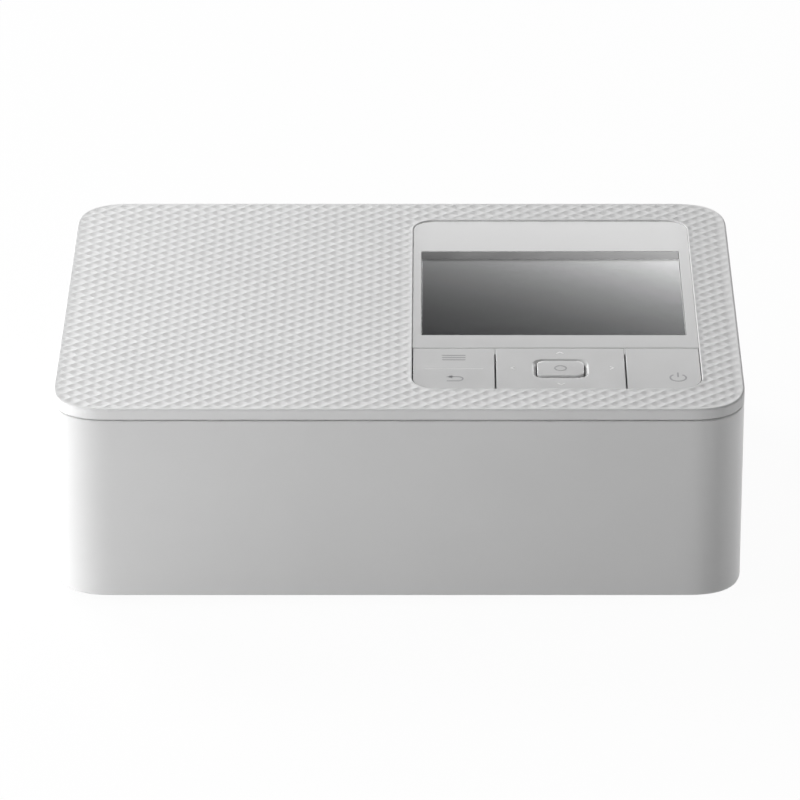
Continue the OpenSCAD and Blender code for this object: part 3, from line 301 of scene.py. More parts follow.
class Paint:
    """Makes each finish's material once and hands it out."""

    made: dict[Look, bpy.types.Material] = {}

    @classmethod
    def of(cls, look: Look) -> bpy.types.Material:
        """Gives the material of a finish."""
        if look not in cls.made:
            cls.made[look] = look.value.material()
        return cls.made[look]


# ---------------------------------------------------------------- shapes
def area(loop: Loop) -> float:
    """Gives twice a loop's signed area, positive when it runs counterclockwise."""
    return sum(a[0] * b[1] - b[0] * a[1] for a, b in zip(loop, loop[1:] + loop[:1]))


def wound(loop: Loop, hole: bool) -> Loop:
    """Gives a loop counterclockwise, or clockwise for a hole."""
    return loop if (area(loop) < 0.0) == hole else loop[::-1]


def inset(loop: Loop, distance: float) -> Loop:
    """Moves a loop into the material on its left.

    Args:
        loop: the corners in order.
        distance: how far to move each side, in millimetres.

    Returns:
        The moved corners.
    """
    points = np.array(loop, float)
    ahead = np.roll(points, -1, 0) - points
    ahead /= np.linalg.norm(ahead, axis=1)[:, None]
    behind = np.roll(ahead, 1, 0)
    left = np.stack([-ahead[:, 1] - behind[:, 1], ahead[:, 0] + behind[:, 0]], 1)
    left /= np.maximum(np.linalg.norm(left, axis=1), 1e-9)[:, None]
    across = np.stack([-ahead[:, 1], ahead[:, 0]], 1)
    mitre = np.maximum((left * across).sum(1), 0.3)
    return [tuple(p) for p in points + left * (distance / mitre)[:, None]]


def arc(centre: Point, radius: float, start: float, end: float, steps: int) -> Loop:
    """Gives the points of an arc.

    Args:
        centre: its centre.
        radius: its radius.
        start: the first angle in degrees.
        end: the last angle in degrees.
        steps: how many pieces it has.

    Returns:
        The points, both ends among them.
    """
    angles = np.radians(np.linspace(start, end, steps + 1))
    return [(centre[0] + radius * math.cos(a), centre[1] + radius * math.sin(a)) for a in angles]


def frame_loop(x: Point, y: Point, radii: float | Sequence[float] = 0.0, steps: int = 8) -> Loop:
    """Gives a rectangle with round corners, counterclockwise.

    Args:
        x: its range along the first axis.
        y: its range along the second axis.
        radii: one radius, or four from the low corner counterclockwise.
        steps: the pieces of each corner.

    Returns:
        The points.
    """
    four = [radii] * 4 if isinstance(radii, (int, float)) else list(radii)
    corners = [(x[0], y[0], 180), (x[1], y[0], 270), (x[1], y[1], 0), (x[0], y[1], 90)]
    loop: Loop = []
    for (cx, cy, start), radius in zip(corners, four):
        if radius <= 0.0:
            loop.append((cx, cy))
            continue
        sx = 1 if cx == x[0] else -1
        sy = 1 if cy == y[0] else -1
        centre = (cx + sx * radius, cy + sy * radius)
        loop += arc(centre, radius, start, start + 90, steps)
    return loop


def soft_levels(low: float, high: float, under: float, over: float, steps: int = 3) -> list[Level]:
    """Gives the rings of a slab with rounded edges.

    Args:
        low: the slab's lowest height.
        high: its highest height.
        under: the radius of its lower edge.
        over: the radius of its upper edge.
        steps: the pieces of each rounding.

    Returns:
        Each ring's height and how far it is drawn in.
    """
    turns = [math.pi / 2 * k / steps for k in range(steps + 1)]
    bottom = [(low + under * (1 - math.cos(t)), under * (1 - math.sin(t))) for t in turns]
    top = [(high - over + over * math.sin(t), over * (1 - math.cos(t))) for t in turns]
    return (bottom if under > 0 else [(low, 0.0)]) + (top if over > 0 else [(high, 0.0)])


def upright(x: float, y: float, z: float) -> Vector:
    """Places a shape drawn in (x, y) with its height along Z."""
    return Vector((x, y, z))


def facing_x(y: float, z: float, x: float) -> Vector:
    """Places a shape drawn in (y, z) with its height along X."""
    return Vector((x, y, z))


def facing_y(x: float, z: float, y: float) -> Vector:
    """Places a shape drawn in (x, z) with its height along Y."""
    return Vector((x, y, z))


@dataclass
class Piece:
    """A mesh gathered in millimetres, then put into the scene on its body."""

    name: str
    look: Look
    body: str = "printer"
    mesh: bmesh.types.BMesh = field(default_factory=bmesh.new)

    def slab(
        self,
        loops: Sequence[Loop | tuple[Loop, list[Level]]],
        levels: list[Level],
        place: Place = upright,
        cuts: Sequence[float] = (),
    ) -> None:
        """Adds a slab with rounded edges, with holes where later loops say.

        Args:
            loops: the outline, then each hole, each with its own levels if it has any.
            levels: the rings' heights and insets, from one face to the other.
            place: turns a drawn point and its height into a place.
            cuts: where along the first axis the faces are divided, so that they can bend.
        """
        own = bmesh.new()
        ends: list[list[bmesh.types.BMEdge]] = [[], []]
        for index, entry in enumerate(loops):
            loop, rings = entry if isinstance(entry, tuple) else (entry, levels)
            loop = wound(loop, index > 0)
            rows = [
                [own.verts.new((x, y, height)) for x, y in inset(loop, drawn)]
                for height, drawn in rings
            ]
            count = len(loop)
            for low, high in zip(rows, rows[1:]):
                for i in range(count):
                    j = (i + 1) % count
                    own.faces.new((low[i], low[j], high[j], high[i]))
            for side, row in ((0, rows[0]), (1, rows[-1])):
                ends[side] += [own.edges.get((row[i], row[(i + 1) % count])) for i in range(count)]
        for side in ends:
            bmesh.ops.triangle_fill(own, use_beauty=True, use_dissolve=False, edges=side)
        for cut in cuts:
            geometry = own.verts[:] + own.edges[:] + own.faces[:]
            bmesh.ops.bisect_plane(
                own, geom=geometry, plane_co=(cut, 0, 0), plane_no=(1, 0, 0), dist=1e-5
            )
        for vert in own.verts:
            vert.co = place(*vert.co)
        self.take(own)

    def take(self, other: bmesh.types.BMesh) -> None:
        """Adds another mesh's faces, turned outwards, and frees it."""
        bmesh.ops.recalc_face_normals(other, faces=other.faces[:])
        spare = bpy.data.meshes.new("spare")
        other.to_mesh(spare)
        other.free()
        self.mesh.from_mesh(spare)
        bpy.data.meshes.remove(spare)

    def box(self, x: Point, y: Point, z: Point, edge: float = 0.2) -> None:
        """Adds a block with rounded edges.

        Args:
            x: its range along X.
            y: its range along Y.
            z: its range along Z.
            edge: the radius of its edges.
        """
        corner = min(edge * 1.5, (x[1] - x[0]) / 3, (y[1] - y[0]) / 3)
        self.slab([frame_loop(x, y, corner, 3)], soft_levels(z[0], z[1], edge, edge, 2))

    def rod(self, axis: Place, at: Point, span: Point, radius: float, edge: float = 0.15) -> None:
        """Adds a round bar with rounded ends.

        Args:
            axis: the place function whose height runs along the bar.
            at: its centre in that function's plane.
            span: its range along the bar.
            radius: its radius.
            edge: the radius of its end edges.
        """
        loop = arc(at, radius, 0, 360, 32)[:-1]
        self.slab([loop], soft_levels(span[0], span[1], edge, edge, 2), axis)

    def finish(
        self,
        replaces: Sequence[str] = (),
        angle: float = 40.0,
        weighted: bool = True,
        cut: "Piece | None" = None,
    ) -> bpy.types.Object:
        """Puts the mesh into the scene, in metres, and rides it on its body.

        Args:
            replaces: the frame's nodes that it stands for.
            angle: edges sharper than this stay sharp.
            weighted: whether large faces keep their own normals.
            cut: a piece to take out of this one.

        Returns:
            The finished object.
        """
        if cut is not None:
            self.subtract(cut)
        data = bpy.data.meshes.new(self.name)
        self.mesh.transform(Matrix.Scale(MM, 4))
        self.mesh.to_mesh(data)
        self.mesh.free()
        data.polygons.foreach_set("use_smooth", [True] * len(data.polygons))
        data.set_sharp_from_angle(angle=math.radians(angle))
        data.materials.append(Paint.of(self.look))
        thing = bpy.data.objects.new(self.name, data)
        bpy.context.scene.collection.objects.link(thing)
        if weighted:
            modifier = thing.modifiers.new("even_normals", "WEIGHTED_NORMAL")
            modifier.keep_sharp = True
        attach(thing, self.body)
        if replaces:
            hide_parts(*replaces)
        LOG.info("%s: %d faces on %s", self.name, len(data.polygons), self.body)
        return thing

    def subtract(self, cut: "Piece") -> None:
        """Takes another piece's volume out of this one."""
        things = []
        for piece in (self, cut):
            data = bpy.data.meshes.new("cutting")
            piece.mesh.to_mesh(data)
            piece.mesh.free()
            thing = bpy.data.objects.new("cutting", data)
            bpy.context.scene.collection.objects.link(thing)
            things.append(thing)
        modifier = things[0].modifiers.new("cut", "BOOLEAN")
        modifier.operation = "DIFFERENCE"
        modifier.solver = "EXACT"
        modifier.object = things[1]
        made = things[0].evaluated_get(bpy.context.evaluated_depsgraph_get()).to_mesh()
        self.mesh = bmesh.new()
        self.mesh.from_mesh(made)
        for thing in things:
            bpy.data.objects.remove(thing)


@dataclass
class BodyPlan:
    """The body's outline seen from above, with corners that ease into the sides."""

    half_w: float = 91.1
    half_d: float = 66.5
    ease: float = 16.0
    power: float = 2.665
    pieces: int = 20

    def __post_init__(self) -> None:
        """Measures the right half of the outline, from the front's middle to the back's."""
        turn = np.linspace(0, math.pi / 2, 200)
        bend = np.stack([np.sin(turn), 1 - np.cos(turn)], 1)
        bend[:, 0] = self.ease * np.abs(np.sin(turn)) ** (2 / self.power)
        bend[:, 1] = self.ease * (1 - np.abs(np.cos(turn)) ** (2 / self.power))
        near = bend + [self.half_w - self.ease, -self.half_d]
        far = near[::-1] * [1, -1]
        line = np.vstack([[0, -self.half_d], near, far, [0, self.half_d]])
        step = np.diff(line, axis=0)
        length = np.linalg.norm(step, axis=1)
        keep = np.concatenate([[True], length > 1e-9])
        self.line = line[keep]
        step = np.diff(self.line, axis=0)
        length = np.linalg.norm(step, axis=1)
        self.run = np.concatenate([[0.0], np.cumsum(length)])
        tangent = step / length[:, None]
        mean = np.vstack([tangent[:1], tangent[:-1] + tangent[1:], tangent[-1:]])
        mean /= np.linalg.norm(mean, axis=1)[:, None]
        self.outward = np.stack([mean[:, 1], -mean[:, 0]], 1)
        self.half = float(self.run[-1])
        self.first = float(self.run[1])
        self.corner = float(self.run[len(near)] - self.run[1])

    def spot(self, run: float) -> tuple[Point, Point]:
        """Gives the outline's point and outward direction.

        Args:
            run: the way along the outline from the front's middle, to the right.

        Returns:
            The point, and the unit vector that leaves the body there.
        """
        run = (run + self.half) % (2 * self.half) - self.half
        side = 1.0 if run >= 0 else -1.0
        way = abs(run)
        place = [float(np.interp(way, self.run, self.line[:, k])) for k in (0, 1)]
        out = [float(np.interp(way, self.run, self.outward[:, k])) for k in (0, 1)]
        size = math.hypot(*out)
        return (side * place[0], place[1]), (side * out[0] / size, out[1] / size)

    def at_right(self, y: float) -> float:
        """Gives the way along the outline to that y on the right side."""
        return float(np.interp(y, self.line[1:-1, 1], self.run[1:-1]))

    def at_left(self, y: float) -> float:
        """Gives the way along the outline to that y on the left side."""
        return -self.at_right(y)

    def at_back(self, x: float) -> float:
        """Gives the way to that x on the back, counted on past the left side."""
        return -self.half - x

    def bends(self, start: float, end: float) -> list[float]:
        """Lists where a strip is divided so that it follows the corners."""
        after = self.half - self.first - self.corner
        found = []
        for begin in (self.first, after, -self.first - self.corner, -after - self.corner):
            for turns in (-1, 0):
                for step in np.linspace(0, self.corner, self.pieces + 1):
                    found.append(begin + step + turns * 2 * self.half)
        return sorted({round(f, 4) for f in found if start < f < end})

    def wrapped(self, depth: float) -> Place:
        """Gives the place function of a wall of that depth that follows the outline.

        Args:
            depth: the wall's thickness. A height of depth is on the outer face.

        Returns:
            A function of the way along, the height above the table and the depth.
        """

        def place(run: float, z: float, height: float) -> Vector:
            """Bends a flat strip round the outline."""
            (x, y), (nx, ny) = self.spot(run)
            inward = depth - height
            return Vector((x - nx * inward, y - ny * inward, z))

        return place

    def inwards(self, x: float, y: float, distance: float) -> Point:
        """Moves a point near the outline's edge towards the body's core.

        Args:
            x: the point's place along X.
            y: the point's place along Y.
            distance: how far it moves.

        Returns:
            The moved point.
        """
        cx = max(-self.half_w + self.ease, min(self.half_w - self.ease, x))
        cy = max(-self.half_d + self.ease, min(self.half_d - self.ease, y))
        if cx == x or cy == y:
            size = math.hypot(x - cx, y - cy)
            return x - (x - cx) / size * distance, y - (y - cy) / size * distance
        u, v = abs(x - cx) / self.ease, abs(y - cy) / self.ease
        nx, ny = u ** (self.power - 1), v ** (self.power - 1)
        size = math.hypot(nx, ny)
        return (
            x - math.copysign(nx / size, x) * distance,
            y - math.copysign(ny / size, y) * distance,
        )

    def loop(self, drawn: float) -> Loop:
        """Gives the whole outline, drawn in by a distance, for cutting and filling."""
        stops = [0.0, *self.bends(0.0, self.half), self.half]
        right = []
        for run in stops:
            (x, y), (nx, ny) = self.spot(run)
            right.append((x - nx * drawn, y - ny * drawn))
        return right + [(-x, y) for x, y in reversed(right[1:-1])]


PLAN = BodyPlan()


# ---------------------------------------------------------------- covers
@dataclass
class Hinge:
    """Cheeks and pins of a cover, on the outer side of the tray's lugs."""

    inward: float = 4.3
    height: float = 5.6
    eye: float = 2.3
    pin: float = 1.1
    lug: float = 5.0
    gap: float = 0.3
    cheek: float = 3.0
    wall: float = 2.4

    def add(self, piece: Piece, face: float, inwards: int, at: float, side: int, axis: Place) -> None:
        """Adds one cheek with its pin.

        Args:
            piece: the cover it belongs to.
            face: the cover's outer face, along the drawn first axis.
            inwards: 1 if inwards is towards larger values, else -1.
            at: the middle of the lug.
            side: on which side of the lug the cheek is, 1 or -1.
            axis: the place function whose height runs along the pin.
        """
        near = at + side * (self.lug / 2 + self.gap)
        centre = (face + inwards * self.inward, self.height)
        angle = 90 if inwards > 0 else 270
        ends = arc(centre, self.eye, -angle, 180 - angle, 16)
        root = face + inwards * (self.wall - 0.2)
        profile = [(root, ends[0][1])] + ends + [(root, ends[-1][1])]
        cheek = sorted((near, near + side * self.cheek))
        piece.slab([profile], soft_levels(cheek[0], cheek[1], 0.2, 0.2, 2), axis)
        reach = sorted((near + side, near - side * (self.lug + 0.2)))
        piece.rod(axis, centre, (reach[0], reach[1]), self.pin)

    def pocket(self, face: float, inwards: int, at: float, axis: Place, cutter: Piece) -> None:
        """Adds the space that the tray's lug needs in the wall.

        Args:
            face: the cover's outer face.
            inwards: 1 if inwards is towards larger values, else -1.
            at: the middle of the lug.
            axis: the place function whose height runs along the pin.
            cutter: the piece that is taken out of the cover.
        """
        deep = sorted((face + inwards * (self.inward - self.eye - 0.6), face + inwards * 5.0))
        profile = frame_loop((deep[0], deep[1]), (0.0, self.height + self.eye + 1.2), 0.3, 3)
        half = self.lug / 2 + self.gap
        cutter.slab([profile], [(at - half, 0.0), (at + half, 0.0)], axis)


@dataclass
class FrontCover:
    """The cover that wraps round the front and both front corners."""

    low: float = 2.55
    high: float = 54.1
    wall: float = 2.4
    rear: float = -51.4
    swing: float = 10.8
    hinge: Hinge = field(default_factory=Hinge)
    lug_x: float = 62.0
    latch_x: float = 50.0
    latch_half: float = 4.0
    latch_z: Point = (48.0, 49.6)

    def outline(self) -> Loop:
        """Gives the unrolled cover, its lower rear corners rounded for the swing."""
        end = PLAN.at_right(self.rear)
        axis_y = -PLAN.half_d + self.hinge.inward
        lift = self.hinge.height
        right = []
        for z in np.linspace(self.low, lift, 6):
            y = axis_y + math.sqrt(self.swing**2 - (lift - z) ** 2)
            right.append((PLAN.at_right(min(y, self.rear)), float(z)))
        right.append((end, self.high))
        return [(-x, z) for x, z in reversed(right)] + right

    def build(self) -> None:
        """Builds the cover with its hinge cheeks, pockets and catches."""
        cover = Piece("front_cover_skin", Look.SHELL, "front_cover")
        end = PLAN.at_right(self.rear)
        cover.slab(
            [self.outline()],
            soft_levels(0.0, self.wall, 0.25, 0.45),
            PLAN.wrapped(self.wall),
            PLAN.bends(-end, end),
        )
        cutter = Piece("cutter", Look.SHELL)
        face = -PLAN.half_d
        for side in (-1, 1):
            self.hinge.pocket(face, 1, side * self.lug_x, facing_x, cutter)
        cover.subtract(cutter)
        for side in (-1, 1):
            self.hinge.add(cover, face, 1, side * self.lug_x, side, facing_x)
            cover.box(
                (side * self.latch_x - self.latch_half, side * self.latch_x + self.latch_half),
                (face + self.wall - 0.2, face + 7.7),
                self.latch_z,
            )
        cover.finish(["front_cover"])


@dataclass
class InkDoor:
    """The door on the right side, over the ink cassette's bay."""

    low: float = 2.55
    high: float = 54.1
    wall: float = 2.4
    front: float = -30.0
    rear: float = 52.0
    lugs: Point = (-22.0, 44.0)
    hinge: Hinge = field(default_factory=Hinge)
    scoop_y: Point = (2.0, 20.0)
    scoop_h: float = 5.0
    scoop_depth: float = 0.9
    tab_x: Point = (86.9, 89.2)
    tab_z: Point = (52.0, 53.4)

    def build(self) -> None:
        """Builds the door with its finger scoop, hinge cheeks and catch."""
        door = Piece("ink_door_skin", Look.SHELL, "ink_door")
        start, end = PLAN.at_right(self.front), PLAN.at_right(self.rear)
        door.slab(
            [frame_loop((start, end), (self.low, self.high))],
            soft_levels(0.0, self.wall, 0.25, 0.4),
            PLAN.wrapped(self.wall),
            PLAN.bends(start, end),
        )
        cutter = Piece("cutter", Look.SHELL)
        face = PLAN.half_w
        for at in self.lugs:
            self.hinge.pocket(face, -1, at, facing_y, cutter)
        scoop = frame_loop(self.scoop_y, (self.high - self.scoop_h, self.high + 3), 2.5, 8)
        cutter.slab(
            [scoop],
            soft_levels(face - self.scoop_depth, face + 2, self.scoop_depth, 0.0, 5),
            facing_x,
        )
        door.subtract(cutter)
        for at, side in zip(self.lugs, (1, -1)):
            self.hinge.add(door, face, -1, at, side, facing_y)
        middle = (self.front + self.rear) / 2
        door.box(self.tab_x, (middle - 4, middle + 4), self.tab_z)
        door.finish(["ink_door"])


class Opening(NamedTuple):
    """A rounded opening: its range across, its range in height and its corner radius."""

    across: Point
    z: Point
    radius: float

    def moved(self, across: float, up: float) -> "Opening":
        """Gives the same opening elsewhere on the wall."""
        first, last = self.across
        low, high = self.z
        return Opening((first + across, last + across), (low + up, high + up), self.radius)

    def unrolled(self, along: Callable[[float], float]) -> Loop:
        """Gives its outline, with its range across measured along the body's outline."""
        first, last = sorted(along(a) for a in self.across)
        return frame_loop((first, last), self.z, self.radius, 5)


@dataclass
class SideShell:
    """The shell round the left side, the back and the right rear corner."""

    low: float = 2.55
    high: float = 54.1
    wall: float = 2.4
    front: float = -50.95
    door: Point = (-30.45, 52.45)
    return_t: float = 2.0
    panel_x: Point = (84.6, 86.6)
    panel_z: Point = (10.5, 54.1)
    bay_y: Point = (-8.8, 46.8)
    bay_z: Point = (26.8, 51.4)
    side_vent: Opening = Opening((27.3, 29.3), (17.0, 37.0), 0.9)
    side_vents: int = 7
    side_vent_pitch: float = 3.4
    card_slot: Opening = Opening((-36.8, -11.2), (14.8, 17.8), 0.8)
    usb_a: Opening = Opening((-36.3, -22.5), (19.5, 25.9), 0.7)
    usb_c: Opening = Opening((-18.3, -8.7), (19.5, 23.2), 1.5)
    paper_slot: Opening = Opening((-41.0, 65.0), (24.4, 32.0), 1.2)
    rear_vent: Opening = Opening((-76.0, -50.0), (14.0, 16.4), 1.1)
    rear_vents: int = 6
    rear_vent_pitch: float = 5.0
    inlet: Opening = Opening((57.7, 67.3), (7.3, 17.9), 1.0)
    terminals: Opening = Opening((-30.0, -4.0), (7.0, 19.0), 0.8)

    def openings(self) -> list[Loop]:
        """Lists the openings of the left side and the back, unrolled."""
        left = [self.side_vent.moved(self.side_vent_pitch * i, 0.0) for i in range(self.side_vents)]
        left += [self.card_slot, self.usb_a, self.usb_c]
        vents = [self.rear_vent.moved(0.0, self.rear_vent_pitch * i) for i in range(self.rear_vents)]
        back = [self.paper_slot, *vents, self.inlet, self.terminals]
        return [o.unrolled(PLAN.at_left) for o in left] + [o.unrolled(PLAN.at_back) for o in back]

    def build(self) -> None:
        """Builds the shell with its openings and the recessed panel of the ink bay."""
        shell = Piece("side_and_rear_shell", Look.SHELL)
        levels = soft_levels(0.0, self.wall, 0.2, 0.35)
        z = (self.low, self.high)
        start, end = PLAN.at_right(self.door[1]) - 2 * PLAN.half, PLAN.at_left(self.front)
        wrap = PLAN.wrapped(self.wall)
        shell.slab([frame_loop((start, end), z)] + self.openings(), levels, wrap, PLAN.bends(start, end))
        start, end = PLAN.at_right(self.front), PLAN.at_right(self.door[0])
        shell.slab([frame_loop((start, end), z)], levels, wrap, PLAN.bends(start, end))
        x = (self.panel_x[0], PLAN.half_w - 0.3)
        shell.box(x, (self.door[0] - self.return_t, self.door[0]), z)
        shell.box(x, (self.door[1], self.door[1] + self.return_t), z)
        y = (self.door[0] - self.return_t + 0.1, self.door[1] + self.return_t - 0.1)
        panel = [frame_loop(y, self.panel_z), frame_loop(self.bay_y, self.bay_z, 3.0)]
        shell.slab(panel, soft_levels(*self.panel_x, 0.25, 0.25), facing_x)
        shell.finish(["body_shell"])
        self.flap()

    @staticmethod
    def flap() -> None:
        """Builds the small cover over the terminals at the back."""
        flap = Piece("terminal_flap", Look.SHELL)
        y = (PLAN.half_d - 1.8, PLAN.half_d)
        loop = frame_loop((-29.7, -4.3), (7.3, 18.7), 1.0, 5)
        flap.slab([loop], soft_levels(*y, 0.15, 0.3), facing_y)
        notch = Piece("cutter", Look.SHELL)
        notch_loop = frame_loop((-20.0, -14.0), (16.5, 20.0), 1.0, 4)
        notch.slab([notch_loop], [(y[1] - 0.8, 0.0), (y[1] + 1, 0.0)], facing_y)
        flap.finish(["terminal_cover"], cut=notch)


@dataclass
class TopCover:
    """The top with its diamond relief, its rim and the opening for the panel."""

    top: float = 57.55
    rim_top: float = 57.3
    seam: float = 54.5
    plate: float = 55.4
    wall: float = 2.4
    pitch_x: float = 2.599
    pitch_y: float = 2.119
    shift: Point = (0.33, -1.7)
    depth: float = 0.33
    fade: float = 1.1
    facets: int = 6
    edge: float = 0.55
    lip: float = 0.25
    panel_x: Point = (3.4, 80.1)
    panel_y: Point = (-53.8, 55.0)
    panel_r: float = 6.5
    posts: tuple[Point, ...] = ((-81.5, -45.0), (81.5, -45.0), (-81.5, 57.0), (81.5, 57.0))

    @staticmethod
    def within(loop: np.ndarray, x: float, y: float) -> bool:
        """Says whether a point lies inside a closed outline."""
        ahead = np.roll(loop, -1, 0)
        crossing = (loop[:, 1] > y) != (ahead[:, 1] > y)
        with np.errstate(divide="ignore", invalid="ignore"):
            at = loop[:, 0] + (y - loop[:, 1]) / (ahead[:, 1] - loop[:, 1]) * (ahead[:, 0] - loop[:, 0])
        return bool(np.count_nonzero(crossing & (x < at)) % 2)

    def relief(self, outline: Loop, hole: Loop) -> bmesh.types.BMesh:
        """Builds the net of ridges and bowls inside an outline and outside a hole.

        Args:
            outline: where the relief ends at the rim.
            hole: where it ends at the control panel.

        Returns:
            The sheet, its ridges at height 0.
        """
        edge, gap = np.array(outline, float), np.array(hole, float)
        low, high = gap.min(0), gap.max(0)
        sheet = bmesh.new()
        nodes: dict[Place2, bmesh.types.BMVert] = {}
        crossed: set[bmesh.types.BMFace] = set()
        reach_x = int(PLAN.half_w / self.pitch_x) + 3
        reach_y = int(PLAN.half_d / self.pitch_y) + 3
        for i in range(-reach_x, reach_x):
            for k in range(-reach_y, reach_y):
                x, y = self.shift[0] + i * self.pitch_x, self.shift[1] + k * self.pitch_y
                corners = [(x + side * self.pitch_x, y) for side in (-1, 1)]
                corners += [(x, y + side * self.pitch_y) for side in (-1, 1)]
                if (i + k) % 2 == 0 or all(self.within(gap, *c) for c in corners):
                    continue
                if not any(self.within(edge, u * 0.95, v * 0.95) for u, v in corners):
                    continue
                apart = x + self.pitch_x < low[0] or x - self.pitch_x > high[0]
                apart = apart or y + self.pitch_y < low[1] or y - self.pitch_y > high[1]
                faces = self.bowl(sheet, nodes, i, k)
                if not apart or not all(self.within(edge, *c) for c in corners):
                    crossed |= faces
        self.trim(sheet, crossed, outline, True)
        self.trim(sheet, crossed, hole, False)
        verts = sheet.verts[:]
        places = np.array([v.co.xy for v in verts])
        share = np.minimum(self.clearance(places, edge), self.clearance(places, gap)) / self.fade
        for vert, part in zip(verts, np.minimum(share, 1.0)):
            vert.co.z *= part
        return sheet

    @staticmethod
    def clearance(places: np.ndarray, loop: np.ndarray) -> np.ndarray:
        """Gives each place's distance from a closed outline."""
        nearest = np.full(len(places), np.inf)
        for a, b in zip(loop, np.roll(loop, -1, 0)):
            way = b - a
            size = way @ way
            if size > 0:
                along = np.clip((places - a) @ way / size, 0, 1)
                nearest = np.minimum(nearest, np.linalg.norm(places - a - along[:, None] * way, axis=1))
        return nearest

    def bowl(
        self, mesh: bmesh.types.BMesh, nodes: dict[Place2, bmesh.types.BMVert], i: int, k: int
    ) -> set[bmesh.types.BMFace]:
        """Adds one shallow bowl between four ridges.

        Args:
            mesh: the sheet.
            nodes: the vertices made so far.
            i: the bowl's place along X, in half pitches.
            k: its place along Y, in half pitches.

        Returns:
            The bowl's faces.
        """
        n = self.facets

        def node(a: int, b: int) -> bmesh.types.BMVert:
            """Gives the vertex a steps along one ridge and b along the other."""
            key = ((i - 1) * n + a + b, k * n + b - a)
            if key not in nodes:
                p, q = 2 * a / n - 1, 2 * b / n - 1
                x = self.shift[0] + key[0] * self.pitch_x / n
                y = self.shift[1] + key[1] * self.pitch_y / n
                nodes[key] = mesh.verts.new((x, y, -self.depth * (1 - p * p) * (1 - q * q)))
            return nodes[key]

        return {
            mesh.faces.new((node(a, b), node(a + 1, b), node(a + 1, b + 1), node(a, b + 1)))
            for a in range(n)
            for b in range(n)
        }

    def trim(
        self, mesh: bmesh.types.BMesh, faces: set[bmesh.types.BMFace], loop: Loop, keep_inside: bool
    ) -> None:
        """Cuts a sheet along a closed outline and removes one side.

        Args:
            mesh: the sheet, flat apart from its relief.
            faces: the faces that an outline may cross, kept up to date.
            loop: the outline.
            keep_inside: whether what lies inside the outline stays.
        """
        points = np.array(wound(loop, False), float)
        margin = 6.0
        for a, b in zip(points, np.roll(points, -1, 0)):
            way = b - a
            size = np.linalg.norm(way)
            if size < 1e-6:
                continue
            low, high = np.minimum(a, b) - margin, np.maximum(a, b) + margin
            middles = [(f, f.calc_center_median()) for f in faces]
            near = [f for f, m in middles if low[0] < m.x < high[0] and low[1] < m.y < high[1]]
            geometry = {v for f in near for v in f.verts} | {e for f in near for e in f.edges} | set(near)
            made = bmesh.ops.bisect_plane(
                mesh, geom=list(geometry), plane_co=(a[0], a[1], 0), plane_no=(way[1], -way[0], 0), dist=1e-4
            )
            faces |= {g for g in made["geom"] if isinstance(g, bmesh.types.BMFace)}
        gone = {f for f in faces if self.within(points, *f.calc_center_median().xy) != keep_inside}
        faces -= gone
        bmesh.ops.delete(mesh, geom=list(gone), context="FACES")

    def build(self) -> None:
        """Builds the cover as one closed mesh, with its screw posts."""
        hole = frame_loop(self.panel_x, self.panel_y, self.panel_r, 12)
        grown = wound(inset(wound(hole, True), self.lip), False)
        sheet = self.relief(PLAN.loop(self.edge), grown)
        low, high = np.array(grown).min(0) - 0.01, np.array(grown).max(0) + 0.01
        ends = {v for v in sheet.verts if v.is_boundary}
        inner = {v for v in ends if low[0] < v.co.x < high[0] and low[1] < v.co.y < high[1]}
        outer = ends - inner
        bmesh.ops.translate(sheet, verts=sheet.verts[:], vec=(0, 0, self.top))
        self.skirt(sheet, inner, False)
        self.skirt(sheet, outer, True)
        ends = [e for e in sheet.edges if e.is_boundary]
        bmesh.ops.triangle_fill(sheet, use_beauty=True, use_dissolve=False, edges=ends)
        cover = Piece("top_cover_relief", Look.TOP)
        cover.take(sheet)
        for at in self.posts:
            bore = arc(at, 1.25, 0, 360, 24)[:-1]
            post = [arc(at, 3.2, 0, 360, 32)[:-1], bore]
            cover.slab(post, soft_levels(14.0, self.plate + 0.1, 0.2, 0.0))
        cover.finish(["top_cover"], angle=19.0)

    def skirt(self, sheet: bmesh.types.BMesh, border: set[bmesh.types.BMVert], outside: bool) -> None:
        """Draws the sheet's border down round the rim or into the panel's opening.

        Args:
            sheet: the relief.
            border: the vertices of the border.
            outside: whether it is the outer border.
        """
        edges = [e for e in sheet.edges if e.is_boundary and e.verts[0] in border and e.verts[1] in border]
        if outside:
            drop = self.top - self.rim_top
            steps = [(self.edge - r, z) for r, z in self.rounding(self.edge, drop + self.edge * 0.7)]
            steps += [(0.0, self.seam - self.top + 0.25), (0.08, self.seam - self.top + 0.06)]
            steps += [(0.25, self.seam - self.top), (self.wall, self.seam - self.top)]
            steps += [(self.wall, self.plate - self.top)]
        else:
            steps = [(self.lip - r, z) for r, z in self.rounding(self.lip, 0.25)]
            steps += [(0.0, self.plate - self.top)]
        start = self.edge if outside else self.lip
        done = start
        for distance, z in steps:
            made = bmesh.ops.extrude_edge_only(sheet, edges=edges)["geom"]
            verts = [g for g in made if isinstance(g, bmesh.types.BMVert)]
            edges = [g for g in made if isinstance(g, bmesh.types.BMEdge)]
            for vert in verts:
                move = distance - done
                if outside:
                    x, y = PLAN.inwards(vert.co.x, vert.co.y, move)
                else:
                    x, y = self.outwards(vert.co.x, vert.co.y, move)
                vert.co = (x, y, self.top + z)
            done = distance

    @staticmethod
    def rounding(width: float, drop: float) -> list[Level]:
        """Gives a quarter ellipse from a face's edge outwards and down."""
        turns = [math.pi / 2 * k / 8 for k in range(1, 9)]
        return [(width * math.sin(t), -drop * (1 - math.cos(t))) for t in turns]

